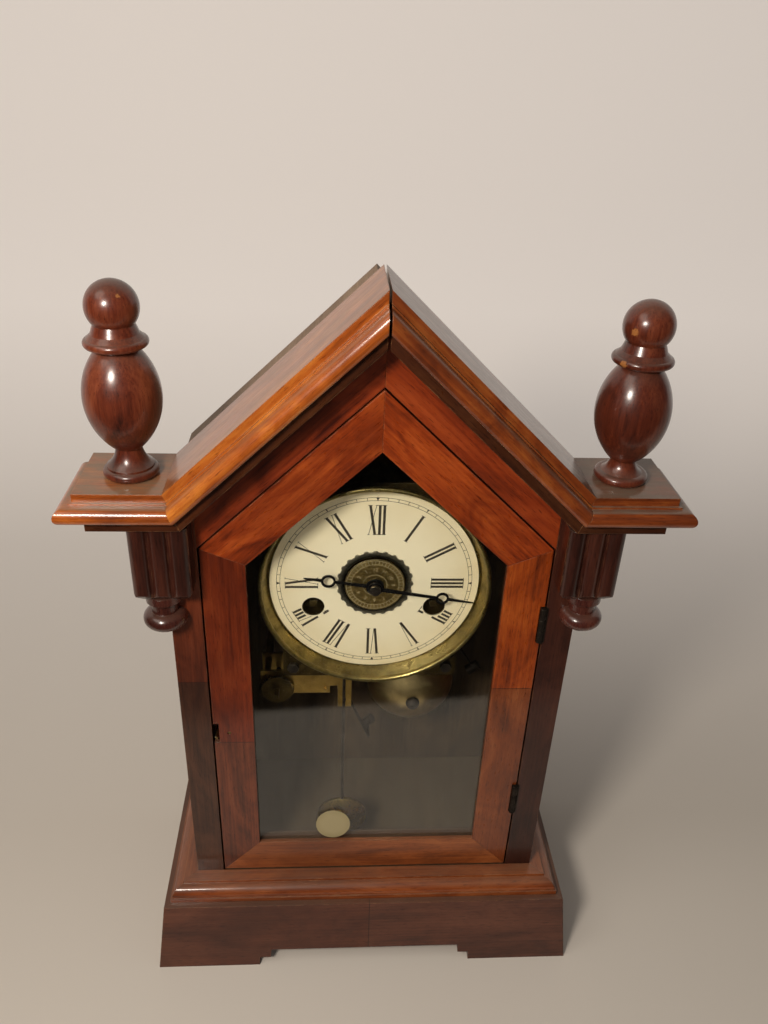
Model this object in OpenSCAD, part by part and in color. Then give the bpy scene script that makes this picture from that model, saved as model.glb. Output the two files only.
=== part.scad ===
// Gable-topped shelf clock with turned finials, hinged glazed door, dial, strike and alarm.
// All sizes are millimetres. X is to the right, Y to the back, Z up; the clock stands on Z = 0.

/* [Case] */
// Width over the case sides
case_w = 214; // [206:1:226]
// Depth of the case, front plane to back
case_d = 105; // [104:1:118]
// Thickness of the case sides
side_t = 9; // [8:0.5:10]
// Thickness of the front frame
frame_t = 12; // [12:0.5:13]
// Width of each front stile
stile_w = 16.2; // [15.5:0.1:16.6]
// Thickness of the back, floor and door backs
board_t = 6; // [5:0.5:7]
// Thickness of the roof boards
roof_t = 8; // [7:0.5:9]

/* [Plinth and base moulding] */
// Height of the plinth
plinth_h = 50.8; // [48:0.2:54]
// Projection of the plinth's foot from the case front
plinth_reach = 25.4; // [24.6:0.2:27]
// Thickness of the plinth boards
plinth_t = 22; // [21:0.5:23]
// Slope of the plinth faces, run over rise
splay = 0.12; // [0.10:0.005:0.14]
// Height of the base moulding
base_h = 10.5; // [10.5:0.1:12]
// Projection of the base moulding's lowest bead
base_reach = 15.6; // [15:0.1:16.5]
// Half width of the cut-out under the plinth
cutout_half = 68; // [60:1:74]
// Height of the cut-out
cutout_h = 13; // [12:0.5:15]

/* [Cornice] */
// Height of the top of the cornice blocks
cornice_z = 340.3; // [339:0.1:346]
// Slope of the roof and of the door's gable, in degrees
pitch = 43.7; // [43:0.1:45]
// Projection of the cornice's top edge from the case front
top_p = 11.8; // [11:0.1:12.6]
// Thickness of the moulded cornice slab
slab_t = 12.8; // [12.5:0.1:13.4]
// Height of the plain bed strip under the slab
bed_t = 5.4; // [5:0.1:6]
// Depth of the cornice behind the case front
cornice_back = 32.2; // [31:0.1:36]
// Width of a cornice block from the case side to its top edge
block_w = 36.9; // [35:0.1:38]
// Opening of the mitre at the apex
apex_gap = 1.2; // [0:0.1:1.6]

/* [Finials, brackets and pendants] */
// Radius of the finial's ball
ball_r = 12; // [11.5:0.1:13]
// Radius of the finial's egg
egg_r = 18; // [17:0.1:18.6]
// Height of the left finial's foot, up to the neck
foot_left = 15.3; // [11:0.1:16]
// Height of the right finial's foot, up to the neck
foot_right = 11.6; // [11:0.1:16]
// Width of the reeded brackets
bracket_w = 29.2; // [28.6:0.1:30]
// Height of the reeded brackets
bracket_h = 42.5; // [41:0.5:44]
// Radius of the turned pendants
pendant_r = 11.4; // [10.8:0.1:11.8]

/* [Door] */
// Width of the door's frame members
rail_w = 22.7; // [22.4:0.1:23.2]
// Thickness of the door
door_t = 11; // [10.5:0.1:11]
// Gap between the door and the case
door_gap = 1.0; // [0.8:0.1:1.2]
// Thickness of the glass
glass_t = 2; // [1.8:0.1:2.2]

/* [Dial and hands] */
// Radius of the dial paper
paper_r = 57.1; // [56:0.1:57.4]
// Depth of the dial pan
pan_depth = 8.5; // [8:0.1:8.5]
// Radius of the winding holes
hole_r = 6.2; // [5.8:0.1:6.4]
// Radius of the alarm disc
alarm_r = 16.4; // [15.5:0.1:16.6]
// Length of the minute hand
minute_len = 55; // [52:0.5:56]
// Length of the hour hand
hour_len = 39; // [37:0.5:41]
// Minutes past nine that the hands show
minutes = 16.6; // [0:0.1:59.9]

/* [Movement] */
// Gear module of the motion work
gear_m = 0.55; // [0.52:0.01:0.56]
// Clearance of the running fits, on the radius
run_fit = 0.05; // [0.03:0.01:0.08]
// Radius of the pendulum bob
bob_r = 16; // [15:0.5:16.5]
// Radius of the bell
bell_r = 28; // [27:0.5:28.5]

/* [Hidden] */
$fn = 64;
slack = 0.5;                                      // overrun of a cutter past a face
half = case_w / 2;
front_y = (plinth_reach - case_d) / 2;            // the case front, with the whole depth centred
slope = tan(pitch);                               // rise of the roof over its run
lift = 1 / cos(pitch);                            // height of one unit of thickness on the slope
mitre = tan(45 - pitch / 2);                      // the door's shoulder joint, rise over run
valley_mitre = tan(pitch / 2);                    // the cornice's valley joint, run over rise

floor_z = plinth_h + board_t;
base_z = plinth_h + base_h;
valley_x = half - 4.4;                            // where the roof meets the flat cornice
apex_z = cornice_z + valley_x * slope;
roof_z = apex_z - slab_t * lift;                  // apex of the roof boards' top
lining_z = roof_z - roof_t * lift;                // apex of the roof boards' underside
bed_z = cornice_z - slab_t - bed_t;
slab_z = cornice_z - slab_t;
nose_r = 4.2;
nose_p = top_p + 7.7;                             // furthest projection of the cornice
bed_p = top_p + 2.8;
block_x = half + block_w - top_p;                 // base line of the cornice's side return
bed_x = block_x + 6.9;

finial_x = valley_x + 17.7;
finial_y = (cornice_back - top_p) / 2;
dowel_r = 3;
dowel_l = 9;
dowel_fit = 0.05;
neck_r = 6.2;
egg_rise = 24.8;                                  // heights above the finial's neck
ring_rise = 51.3;
ball_rise = 66.4;

bracket_x = half - bracket_w / 2;                 // inner edge
bracket_y = -bed_p + 0.8;                         // front
bracket_z = bed_z - bracket_h;
reed_r = bracket_w / 6;
chamfer = 4.6;
pendant_h = 25;
pendant_out = 1.8;                                // centre of the pendant, out from the case corner

door_half = half - stile_w - door_gap;
door_z = base_z + door_gap;
shoulder_z = cornice_z - 37.1;
door_apex = shoulder_z + door_half * slope;
sight_half = door_half - rail_w;
sight_z = door_z + rail_w + 1.2;
sight_shoulder = shoulder_z - rail_w * mitre;
sight_apex = sight_shoulder + sight_half * slope;
rebate_w = 6;
glass_y = 2.6;
bead_y = glass_y + glass_t;
frame_apex = door_apex + door_gap * lift;
frame_in = half - stile_w;

pivot_x = door_half - 0.5;                        // hinge axis
pivot_y = -0.6;
knuckle_r = 1.7;
knuckle_clear = 0.3;
pin_r = 0.8;
leaf_t = 0.9;
hinge_h = 22.6;
knuckle_h = (hinge_h - 2 * knuckle_clear) / 3;
hinge_z = [shoulder_z - 58.5, door_z + 49];       // lower ends of the upper and lower hinge

catch_z = floor_z + 122.4;
catch_x = -(door_half - 8.7);
notch_h = 14;
notch_w = 3;

rim_r = 1.3;
pan_r = paper_r + 4.8;
dial_z = sight_apex - (pan_r + rim_r) * lift - 1.6;
pan_y = 22.8;                                     // back of the dial pan
pan_t = 0.8;
seat_r = pan_r - 2.6;                             // edge of the flat pan, under the bezel
paper_t = 0.4;
paper_y = pan_y - pan_t - paper_t;
eyelet_r = alarm_r + 1;
eyelet_out = alarm_r + 4.6;
eyelet_t = 0.5;
wind_x = 33.5;
wind_dz = -15.8;

minute_angle = minutes * 6;
hour_angle = 270 + minutes / 2;
alarm_y = 19.8;
alarm_t = 0.8;
hour_y = 17.5;
minute_y = 15.6;
hand_t = 0.7;

cannon_teeth = 10;
minute_teeth = 30;
pinion_teeth = 8;
hour_teeth = 32;
motion_c = gear_m * (cannon_teeth + minute_teeth) / 2;
motion_angle = -50;                               // direction of the minute wheel from the centre
// Turning each wheel by its share of the mesh keeps the teeth in step.
minute_phase = motion_angle + 180 + 180 / minute_teeth + motion_angle * cannon_teeth / minute_teeth;
hour_phase = motion_angle + 180 / hour_teeth + (motion_angle + 180) * pinion_teeth / hour_teeth;
tube_r = 2.2;
pipe_r = 3.4;
arbor_r = 1.5;
stud_r = 1;

plate_y = 38;                                     // front face of the front plate
plate_t = 1.4;
back_plate_y = 72;
spring_y = plate_y + 6;
spring_h = 15;
great_y = plate_y + 26;                           // front face of the great wheels
great_wall = 2;
ratchet_t = 2.5;
window_x = 22;                                    // openings of the front plate
window_z = dial_z - 46;
window_r = 12;
plate_half = 52;
plate_top = dial_z + 53;
plate_low = dial_z - 79;
pillar_x = 46;
pillar_top = plate_top - 7;
pillar_low = plate_low + 7;
pillar_r = 3;

great_r = 26;
great_teeth = 60;
wind_r = 3;
key_half = 2;                                     // half of the winding square
spring_in = 4;
spring_pitch = 3;
spring_t = 0.5;
spring_turns = 6;
spring_step = 18;
spring_gap = spring_pitch - spring_t;
spring_low = spring_in + spring_t + spring_pitch * (spring_turns - 0.25);  // outer face below the arbor
spring_post = 1.4;
assert(spring_gap > 0.4, "the mainspring's turns must not touch");

swing_x = -15.5;
swing_y = 29;
swing_z = dial_z + 46;
rod_r = 0.9;
bob_z = floor_z + bob_r + 4.4;
verge_z = dial_z + 33;
escape_z = dial_z + 16;
escape_r = 11;
escape_y = plate_y - 3.4;
escape_t = 1;
crutch_z = dial_z - 4;

bell_x = 29;
bell_drop = 111;                                  // below the middle of the dial
bell_z = dial_z - bell_drop;
bell_y = 68;                                      // plane of the bell's rim
bell_sphere = bell_r + 2;
bell_t = 1.6;

alarm_x = -56;
alarm_drop = 89;
alarm_z = dial_z - alarm_drop;
alarm_plate_y = 40;
alarm_back_y = 56;
alarm_left = -66;                                 // edges of the alarm plates
alarm_right = -10.6;
hammer_x = -15;
hammer_z = alarm_z - 11;
hammer_y = 50;
strike_x = 49;
strike_z = dial_z - 64;
strike_y = 66;
strike_len = 33;

back_y = case_d - board_t;                        // inner face of the back board

/* helpers */

// Moves a part drawn from the case front plane to its place.
module in_case() translate([0, front_y, 0]) children();

// Extrudes an outline drawn in X and Z between two depths.
module slab(y0, y1) translate([0, y1, 0]) rotate([90, 0, 0]) linear_extrude(y1 - y0) children();

// Runs a profile drawn in projection and height along X.
module run(x0, x1) translate([x1, 0, 0]) rotate([90, 0, -90]) linear_extrude(x1 - x0) children();

// A round bar along Y.
module bar(x, z, r, y0, y1) translate([x, y1, z]) rotate([90, 0, 0]) cylinder(r = r, h = y1 - y0);

// Turns a profile of radius and forward height about an axis along Y.
module turn(x, y, z) translate([x, y, z]) rotate([90, 0, 0]) rotate_extrude() children();

// A straight round bar between two points of one depth.
module rod(a, b, r) {
    d = b - a;
    translate(a) rotate([0, atan2(d[0], d[2]), 0]) cylinder(r = r, h = norm(d));
}

// Outline of the corner of the case, to be cut from what straddles it.
module corner_cut(z0, z1) translate([0, 0, z0]) linear_extrude(z1 - z0) square([half, case_d]);

function polar(r, a) = [r * cos(a), r * sin(a)];

// Points of a wheel with tapered teeth that stay narrower than the gaps.
function gear(teeth, m) = [
    for (i = [0 : teeth - 1])
        for (k = [[-0.25, -1.15], [-0.16, 0.1], [-0.07, 0.75], [0.07, 0.75], [0.16, 0.1], [0.25, -1.15]])
            polar(m * (teeth / 2 + k[1]), 360 * (i + k[0]) / teeth)
];

// Points of a spiral band, out along one face and back along the other.
function spiral(turns, r0, pitch, t, step) = let (n = turns * 360 / step) concat(
    [for (i = [0 : n]) polar(r0 + pitch * i * step / 360, i * step)],
    [for (i = [n : -1 : 0]) polar(r0 + t + pitch * i * step / 360, i * step)]
);

/* plinth and base moulding */

module plinth_profile() polygon([
    [plinth_reach, 0], [plinth_reach - splay * plinth_h, plinth_h],
    [plinth_reach - splay * plinth_h - plinth_t, plinth_h], [plinth_reach - plinth_t, 0]
]);

// Plan of the front run, mitred at both corners of a rectangle grown around the case.
module front_plan(reach) polygon([
    [-half + case_d, case_d], [half - case_d, case_d], [half + reach, -reach], [-half - reach, -reach]
]);

module side_plan(reach) polygon([
    [half - case_d / 2, case_d / 2], [half + reach, -reach], [half + reach, case_d], [half - case_d / 2, case_d]
]);

module plinth_front() color("saddlebrown") in_case() difference() {
    intersection() {
        run(-half - 2 * plinth_reach, half + 2 * plinth_reach) plinth_profile();
        translate([0, 0, -slack]) linear_extrude(plinth_h + 1) front_plan(plinth_reach + 1);
    }
    slab(-plinth_reach - 1, plinth_t) polygon([
        [-cutout_half, -1], [-cutout_half, cutout_h / 2], [-cutout_half + 7, cutout_h / 2],
        [-cutout_half + 7.6, cutout_h], [cutout_half - 7.6, cutout_h],
        [cutout_half - 7, cutout_h / 2], [cutout_half, cutout_h / 2], [cutout_half, -1]
    ]);
}

module plinth_sides() color("saddlebrown") in_case() for (m = [0, 1]) mirror([m, 0, 0]) intersection() {
    translate([half, 0, 0]) slab(-plinth_reach - 1, case_d) plinth_profile();
    translate([0, 0, -slack]) linear_extrude(plinth_h + 1) side_plan(plinth_reach + 1);
}

// Fillet, ovolo and bead, from the flat top down.
module base_profile() translate([0, plinth_h]) {
    square([base_reach, base_h * 0.28]);
    square([base_reach - 7.4, base_h]);
    translate([base_reach - 6.9, base_h * 0.28]) difference() {
        translate([0, 0]) circle(r = 5.9);
        translate([-10, -10]) square([20, 10]);
        translate([-10, -1]) square([9.5, 12]);
    }
    square([base_reach - 6.9, base_h * 0.28 + 5.9]);
}

module base_moulding_front() color("sienna") in_case() intersection() {
    run(-half - base_reach, half + base_reach) base_profile();
    translate([0, 0, plinth_h]) linear_extrude(base_h + slack) front_plan(base_reach);
}

module base_moulding_sides() color("sienna") in_case() for (m = [0, 1]) mirror([m, 0, 0]) intersection() {
    translate([half, 0, 0]) slab(-base_reach, case_d) base_profile();
    translate([0, 0, plinth_h]) linear_extrude(base_h + slack) side_plan(base_reach);
}

/* case */

module case_floor() color("peru") in_case()
    translate([-half, 0, plinth_h]) cube([case_w, back_y, board_t]);

module case_side_right() color("sienna") in_case() slab(frame_t, case_d) polygon([
    [half - side_t, floor_z], [half, floor_z], [half, lining_z - half * slope],
    [half - side_t, lining_z - (half - side_t) * slope]
]);

module case_side_left() mirror([1, 0, 0]) case_side_right();

module back_board() color("peru") in_case() {
    w = half - side_t;
    low = 2;
    top = lining_z - w * slope;
    slab(back_y, case_d) polygon([[-w, low], [w, low], [w, top], [0, lining_z], [-w, top]]);
}

module roof_board_right() color("sienna") in_case() slab(frame_t, case_d) polygon([
    [0, lining_z], [half, lining_z - half * slope], [half, roof_z - half * slope], [0, roof_z]
]);

module roof_board_left() mirror([1, 0, 0]) roof_board_right();

module case_stile() slab(0, frame_t) polygon([
    [frame_in, floor_z], [half, floor_z], [half, roof_z - half * slope], [frame_in, roof_z - frame_in * slope]
]);

module stile_right() color("brown") in_case() difference() {
    case_stile();
    for (z = hinge_z) {
        translate([pivot_x, pivot_y, z - knuckle_clear])
            cylinder(r = knuckle_r + knuckle_clear, h = hinge_h + 2 * knuckle_clear);
        translate([frame_in - 1, -1, z]) cube([leaf_t + 1, door_t + 1, hinge_h]);
    }
}

module stile_left() color("brown") in_case() mirror([1, 0, 0]) case_stile();

module gable_right() color("chocolate") in_case() slab(0, frame_t) polygon([
    [0, frame_apex], [frame_in, frame_apex - frame_in * slope], [frame_in, roof_z - frame_in * slope], [0, roof_z]
]);

module gable_left() mirror([1, 0, 0]) gable_right();

/* cornice */

// Fillet, lip, ogee nose and flat underside; projection forward, height down from the top.
module cornice_profile(back) {
    edge_h = 4.2;
    lip = 1.5;
    nose_c = [nose_p - nose_r, 3.4 - slab_t];
    difference() {
        union() {
            translate([-back, -slab_t]) square([back + nose_c[0], slab_t]);
            translate(nose_c) circle(r = nose_r);
        }
        translate([top_p, -edge_h]) square([nose_p, slab_t]);
        translate([top_p + lip, -edge_h - 1]) square([nose_p, slab_t]);
        translate([-back - 1, -2 * slab_t]) square([back + nose_p + 2, slab_t]);
    }
}

module bed_profile() translate([0, -slab_t - bed_t]) square([bed_p, bed_t + slack]);

function valley(z) = valley_x - (cornice_z - z) * valley_mitre;

module rake_moulding_right() color("darkorange") in_case() {
    len = 1.5 * half;
    intersection() {
        translate([0, 0, apex_z]) rotate([0, pitch, 0]) run(-half / 2, len) {
            cornice_profile(cornice_back);
            bed_profile();
        }
        slab(-nose_p - 1, cornice_back + 1) polygon([
            [apex_gap / 2, apex_z + 1], [apex_gap / 2, bed_z - 1],
            [valley(bed_z - 1), bed_z - 1], [valley(apex_z + 1), apex_z + 1]
        ]);
    }
}

module rake_moulding_left() mirror([1, 0, 0]) rake_moulding_right();

module cornice_block_right() color("darkorange") in_case() difference() {
    union() {
        intersection() {
            translate([0, 0, cornice_z]) run(0, block_x + nose_p + 1) cornice_profile(cornice_back);
            translate([block_x, 0, cornice_z]) slab(-nose_p - 1, cornice_back) cornice_profile(block_x);
            slab(-nose_p - 1, cornice_back + 1) polygon([
                [valley(slab_z), slab_z], [valley(cornice_z), cornice_z],
                [block_x + nose_p + 1, cornice_z], [block_x + nose_p + 1, slab_z]
            ]);
        }
        intersection() {
            translate([0, -bed_p, bed_z]) cube([bed_x, bed_p + cornice_back, bed_t + slack]);
            slab(-bed_p, cornice_back) polygon([
                [valley(bed_z), bed_z], [valley(slab_z + slack), slab_z + slack],
                [bed_x, slab_z + slack], [bed_x, bed_z]
            ]);
        }
    }
    translate([0, 0, bed_z - 1]) linear_extrude(bed_t + 1) square([half, case_d]);
    translate([finial_x, finial_y, cornice_z - dowel_l - slack])
        cylinder(r = dowel_r + dowel_fit, h = dowel_l + 1);
}

module cornice_block_left() mirror([1, 0, 0]) cornice_block_right();

/* finials */

// Trumpet foot up to the given neck height, then egg, saucer ring and ball.
module finial_profile(neck) {
    foot_r = 13.2;
    bead_r = 2.3;
    cove_r = neck - 3.4;
    side_r = 1.9 * egg_r;                         // radius of the egg's long sides
    ball_z = neck + ball_rise;
    ring_z = neck + ring_rise;
    egg_z = neck + egg_rise;
    difference() {
        square([foot_r - 2, neck]);
        translate([neck_r + cove_r, neck]) circle(r = cove_r);
    }
    square([foot_r - bead_r, 2 * bead_r]);
    translate([foot_r - bead_r, bead_r]) circle(r = bead_r);
    translate([0, neck - 1]) square([neck_r, 3]);
    intersection() {
        translate([egg_r - side_r, egg_z]) circle(r = side_r);
        translate([0, neck]) square([egg_r + 1, ring_z - neck]);
    }
    translate([0, ring_z - 2.4]) square([12.8, 3.4]);
    translate([12.5, ring_z - 0.7]) circle(r = 2);
    polygon([[0, ring_z], [13, ring_z + 1.2], [10.8, ring_z + 3.4], [9.2, ring_z + 7.6], [0, ring_z + 7.6]]);
    intersection() {
        translate([0, ball_z]) circle(r = ball_r);
        translate([0, ball_z - ball_r]) square([ball_r, 2 * ball_r]);
    }
}

module finial(side, neck) color("maroon") in_case() translate([side * finial_x, finial_y, cornice_z]) {
    rotate_extrude() finial_profile(neck);
    translate([0, 0, -dowel_l]) cylinder(r = dowel_r, h = dowel_l + 1);
}

/* brackets and pendants */

module reeded_plan() {
    translate([bracket_x, bracket_y + reed_r * 0.5]) square([bracket_w - reed_r * 0.5, bracket_w - reed_r * 0.5]);
    for (i = [0 : 2]) {
        translate([bracket_x + reed_r * (1 + 2 * i), bracket_y + reed_r]) circle(r = reed_r);
        translate([bracket_x + bracket_w - reed_r, bracket_y + reed_r * (1 + 2 * i)]) circle(r = reed_r);
    }
}

module bracket_right() color("maroon") in_case() difference() {
    x1 = bracket_x + bracket_w;
    intersection() {
        translate([0, 0, bracket_z]) linear_extrude(bracket_h) reeded_plan();
        slab(bracket_y, bracket_y + bracket_w) polygon([
            [bracket_x, bed_z], [bracket_x, bracket_z + chamfer], [bracket_x + chamfer, bracket_z],
            [x1 - chamfer, bracket_z], [x1, bracket_z + chamfer], [x1, bed_z]
        ]);
        run(bracket_x, x1) polygon([
            [-bracket_y, bed_z], [-bracket_y, bracket_z + chamfer], [-bracket_y - chamfer, bracket_z],
            [-bracket_y - bracket_w, bracket_z], [-bracket_y - bracket_w, bed_z]
        ]);
    }
    corner_cut(bracket_z - 1, bed_z + 1);
}

module bracket_left() mirror([1, 0, 0]) bracket_right();

// Collar, waist, fat bead and drop, from the top down.
module pendant_profile() {
    bead_r = 4.6;
    bead_z = 9.4;
    translate([0, pendant_h - 4.4]) square([pendant_r * 0.8, 4.4]);
    translate([0, bead_z]) square([pendant_r * 0.6, pendant_h - bead_z]);
    translate([0, bead_z - bead_r]) square([pendant_r - bead_r, 2 * bead_r]);
    translate([pendant_r - bead_r, bead_z]) circle(r = bead_r);
    intersection() {
        translate([0, 6.2]) circle(r = 6.2);
        square([6.2, 6]);
    }
}

module pendant_right() color("maroon") in_case() difference() {
    translate([half + pendant_out, -pendant_out, bracket_z - pendant_h]) rotate_extrude() pendant_profile();
    corner_cut(bracket_z - pendant_h - 1, bracket_z + 1);
}

module pendant_left() mirror([1, 0, 0]) pendant_right();

/* door */

module sight_outline(grow) {
    w = sight_half + grow;
    s = sight_shoulder + grow * mitre;
    polygon([[-w, sight_z - grow], [w, sight_z - grow], [w, s], [0, s + w * slope], [-w, s]]);
}

module door_cuts() {
    slab(glass_y, door_t + 1) sight_outline(rebate_w);
    slab(-1, glass_y + 1) sight_outline(0);
}

module hinge_cuts() for (z = hinge_z) {
    translate([pivot_x, pivot_y, z - knuckle_clear])
        cylinder(r = knuckle_r + knuckle_clear, h = hinge_h + 2 * knuckle_clear);
    translate([door_half - leaf_t, -1, z]) cube([leaf_t + 1, door_t + 2, hinge_h]);
}

module stile_outline() polygon([
    [door_half, door_z], [door_half, shoulder_z], [sight_half - 1, sight_shoulder - mitre],
    [sight_half - 1, sight_z], [sight_half, sight_z]
]);

module door_stile_right() color("orangered") in_case() difference() {
    slab(0, door_t) stile_outline();
    door_cuts();
    hinge_cuts();
}

module door_stile_left() color("orangered") in_case() difference() {
    mirror([1, 0, 0]) slab(0, door_t) stile_outline();
    door_cuts();
    translate([-door_half - 1, -1, catch_z - notch_h / 2]) cube([notch_w + 1, door_t + 2, notch_h]);
    bar(catch_x, catch_z, stud_r + run_fit, -1, door_t + 1);
}

module door_rail() color("orangered") in_case() difference() {
    slab(0, door_t) polygon([
        [-door_half, door_z], [door_half, door_z], [sight_half, sight_z],
        [sight_half, sight_z + 1], [-sight_half, sight_z + 1], [-sight_half, sight_z]
    ]);
    door_cuts();
}

module door_gable_right() color("orangered") in_case() difference() {
    slab(0, door_t) polygon([
        [door_half, shoulder_z], [0, door_apex], [0, sight_apex - 1],
        [sight_half - 1, sight_shoulder - mitre]
    ]);
    door_cuts();
}

module door_gable_left() mirror([1, 0, 0]) door_gable_right();

module door_glass() color("lightblue", 0.4) in_case()
    slab(glass_y, bead_y) sight_outline(rebate_w - slack);

module glazing_beads() color("peru") in_case() difference() {
    slab(bead_y, door_t) sight_outline(rebate_w);
    slab(bead_y - 1, door_t + 1) sight_outline(1.5);
}

module hinge_door_leaves() color("dimgray") in_case() for (z = hinge_z) {
    difference() {
        union() {
            translate([door_half - leaf_t, pivot_y, z]) cube([leaf_t, door_t - pivot_y, hinge_h]);
            translate([pivot_x, pivot_y, z + knuckle_h + knuckle_clear]) cylinder(r = knuckle_r, h = knuckle_h);
        }
        translate([pivot_x, pivot_y, z - 1]) cylinder(r = pin_r + run_fit, h = hinge_h + 2);
        for (k = [-1, 2 * knuckle_h + knuckle_clear])
            translate([pivot_x, pivot_y, z + k])
                cylinder(r = knuckle_r + knuckle_clear, h = knuckle_h + 1 + knuckle_clear);
    }
}

module hinge_case_leaves() color("dimgray") in_case() for (z = hinge_z) {
    difference() {
        union() {
            translate([frame_in, 0, z]) cube([leaf_t, door_t, hinge_h]);
            translate([pivot_x, pivot_y - 0.4, z]) cube([frame_in + leaf_t - pivot_x, 0.8, hinge_h]);
            translate([pivot_x, pivot_y, z]) cylinder(r = knuckle_r, h = hinge_h);
        }
        translate([pivot_x, pivot_y, z + knuckle_h])
            cylinder(r = knuckle_r + knuckle_clear, h = knuckle_h + 2 * knuckle_clear);
        translate([pivot_x, pivot_y - 0.5, z + knuckle_h]) cube([1.9, 1, knuckle_h + 2 * knuckle_clear]);
    }
    translate([pivot_x, pivot_y, z + 1]) cylinder(r = pin_r, h = hinge_h - 2);
}

// Turning hook behind the door with a finger tab in the notch.
module door_catch() color("darkkhaki") in_case() {
    back = frame_t + 0.3;
    bar(catch_x, catch_z, stud_r, 0.4, back + 0.5);
    bar(catch_x, catch_z, 2.6, door_t, back + 1.2);
    translate([catch_x - 14, back, catch_z - 1.8]) cube([14, 1.2, 3.6]);
    translate([catch_x, 0, catch_z]) rotate([0, -28, 0]) {
        translate([-9, back, -1]) cube([9, 1.2, 2]);
        translate([-9, 0.3, -1]) cube([1, back, 2]);
    }
}

/* dial and hands */

module at_centre() translate([0, 0, dial_z]) children();

module winding_holes(r, y0, y1) for (s = [-1, 1]) bar(s * wind_x, dial_z + wind_dz, r, y0, y1);

// Flat pan on three feet that stand on the front plate.
module dial_pan() color("darkkhaki") in_case() {
    foot_r = 2;
    difference() {
        bar(0, dial_z, seat_r, pan_y - pan_t, pan_y);
        bar(0, dial_z, eyelet_r + eyelet_t + run_fit, pan_y - 1 - pan_t, pan_y + 1);
        winding_holes(hole_r, pan_y - 1 - pan_t, pan_y + 1);
    }
    for (p = [[-40, 22], [40, 22], [8, -47]]) bar(p[0], dial_z + p[1], foot_r, pan_y - pan_t / 2, plate_y);
}

// Spun brass ring: a slope that rises from the pan to a rolled rim.
module dial_bezel() color("darkkhaki") in_case() turn(0, pan_y, dial_z) {
    wall = 0.9;
    difference() {
        union() {
            polygon([
                [seat_r - 1.2, pan_t - 0.2], [seat_r - 0.1, pan_t - 0.2], [pan_r, pan_depth - 2],
                [pan_r, pan_depth], [pan_r - wall, pan_depth], [pan_r - wall, pan_depth - 1.8]
            ]);
            translate([pan_r, pan_depth]) circle(r = rim_r);
        }
        translate([0, -slack]) square([pan_r + 2 * rim_r, pan_t + slack]);
    }
}

// Scalloped ring with a tube that is turned over behind the pan.
module dial_eyelet() color("dimgray") in_case() {
    bead = 1.7;
    lip = 0.4;
    top = pan_t + paper_t + 0.3;
    turn(0, pan_y, dial_z) polygon([
        [eyelet_r, -lip], [eyelet_r + eyelet_t + 1, -lip], [eyelet_r + eyelet_t + 1, 0],
        [eyelet_r + eyelet_t, 0], [eyelet_r + eyelet_t, top], [eyelet_r, top]
    ]);
    slab(paper_y - 0.6, paper_y) translate([0, dial_z]) difference() {
        union() {
            circle(r = eyelet_out - 0.9);
            for (i = [0 : 23]) rotate(15 * i) translate([eyelet_out - bead, 0]) circle(r = bead);
        }
        circle(r = eyelet_r);
    }
}

module dial_paper() color("ivory") in_case() slab(paper_y, paper_y + paper_t) translate([0, dial_z]) difference() {
    circle(r = paper_r);
    circle(r = eyelet_r + 0.6);
    for (s = [-1, 1]) translate([s * wind_x, wind_dz]) circle(r = hole_r);
}

module alarm_disc() color("goldenrod") in_case() difference() {
    bar(0, dial_z, alarm_r, alarm_y, alarm_y + alarm_t);
    bar(0, dial_z, pipe_r + run_fit, alarm_y - 1, alarm_y + alarm_t + 1);
}

// A hand drawn pointing up: hub, tapering blade, open ring and point.
module hand_outline(len, ring_at, ring_r, hub_r, bore) difference() {
    union() {
        circle(r = hub_r);
        polygon([[-1.2, 0], [1.2, 0], [0.7, ring_at - ring_r + 0.5], [-0.7, ring_at - ring_r + 0.5]]);
        translate([0, ring_at]) circle(r = ring_r);
        polygon([[-0.9, ring_at + ring_r - 0.5], [0.9, ring_at + ring_r - 0.5], [0.25, len], [-0.25, len]]);
    }
    circle(r = bore);
    translate([0, ring_at]) circle(r = ring_r - 1.3);
}

module hour_hand() color("black") in_case() at_centre() rotate([0, hour_angle, 0])
    slab(hour_y, hour_y + hand_t) hand_outline(hour_len, 25.5, 4, 5, pipe_r - 0.4);

module minute_hand() color("black") in_case() at_centre() rotate([0, minute_angle, 0])
    slab(minute_y, minute_y + hand_t) hand_outline(minute_len, 37.5, 3.7, 4, arbor_r);

module gear_disc(teeth, m, angle, y0, y1)
    slab(y0, y1) rotate(angle) polygon(gear(teeth, m));

module hour_wheel() color("goldenrod") in_case() at_centre() difference() {
    union() {
        gear_disc(hour_teeth, gear_m, hour_phase, 26, 27.2);
        bar(0, 0, pipe_r, hour_y + hand_t, 27.2);
        bar(0, 0, pipe_r - 0.4, hour_y - 0.3, hour_y + hand_t + 1);
    }
    bar(0, 0, tube_r + run_fit, hour_y - 1, 28);
}

module centre_arbor() color("silver") in_case() at_centre() {
    bar(0, 0, arbor_r, 14, back_plate_y + 3);
    bar(0, 0, tube_r, minute_y + hand_t, 34);
    bar(0, 0, 3, 13.6, minute_y);
    gear_disc(cannon_teeth, gear_m, 0, 28.5, 33);
    bar(0, 0, 3.6, plate_y + plate_t + 1, plate_y + plate_t + 9);
}

module minute_wheel() color("goldenrod") in_case() at_centre()
    translate([motion_c * cos(motion_angle), 0, motion_c * sin(motion_angle)]) difference() {
        union() {
            gear_disc(minute_teeth, gear_m, minute_phase, 29.5, 31);
            gear_disc(pinion_teeth, gear_m, 0, 25.6, 29.8);
            bar(0, 0, 2, 31, 34);
        }
        bar(0, 0, stud_r + run_fit, 25, 35);
    }

/* movement */

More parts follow.
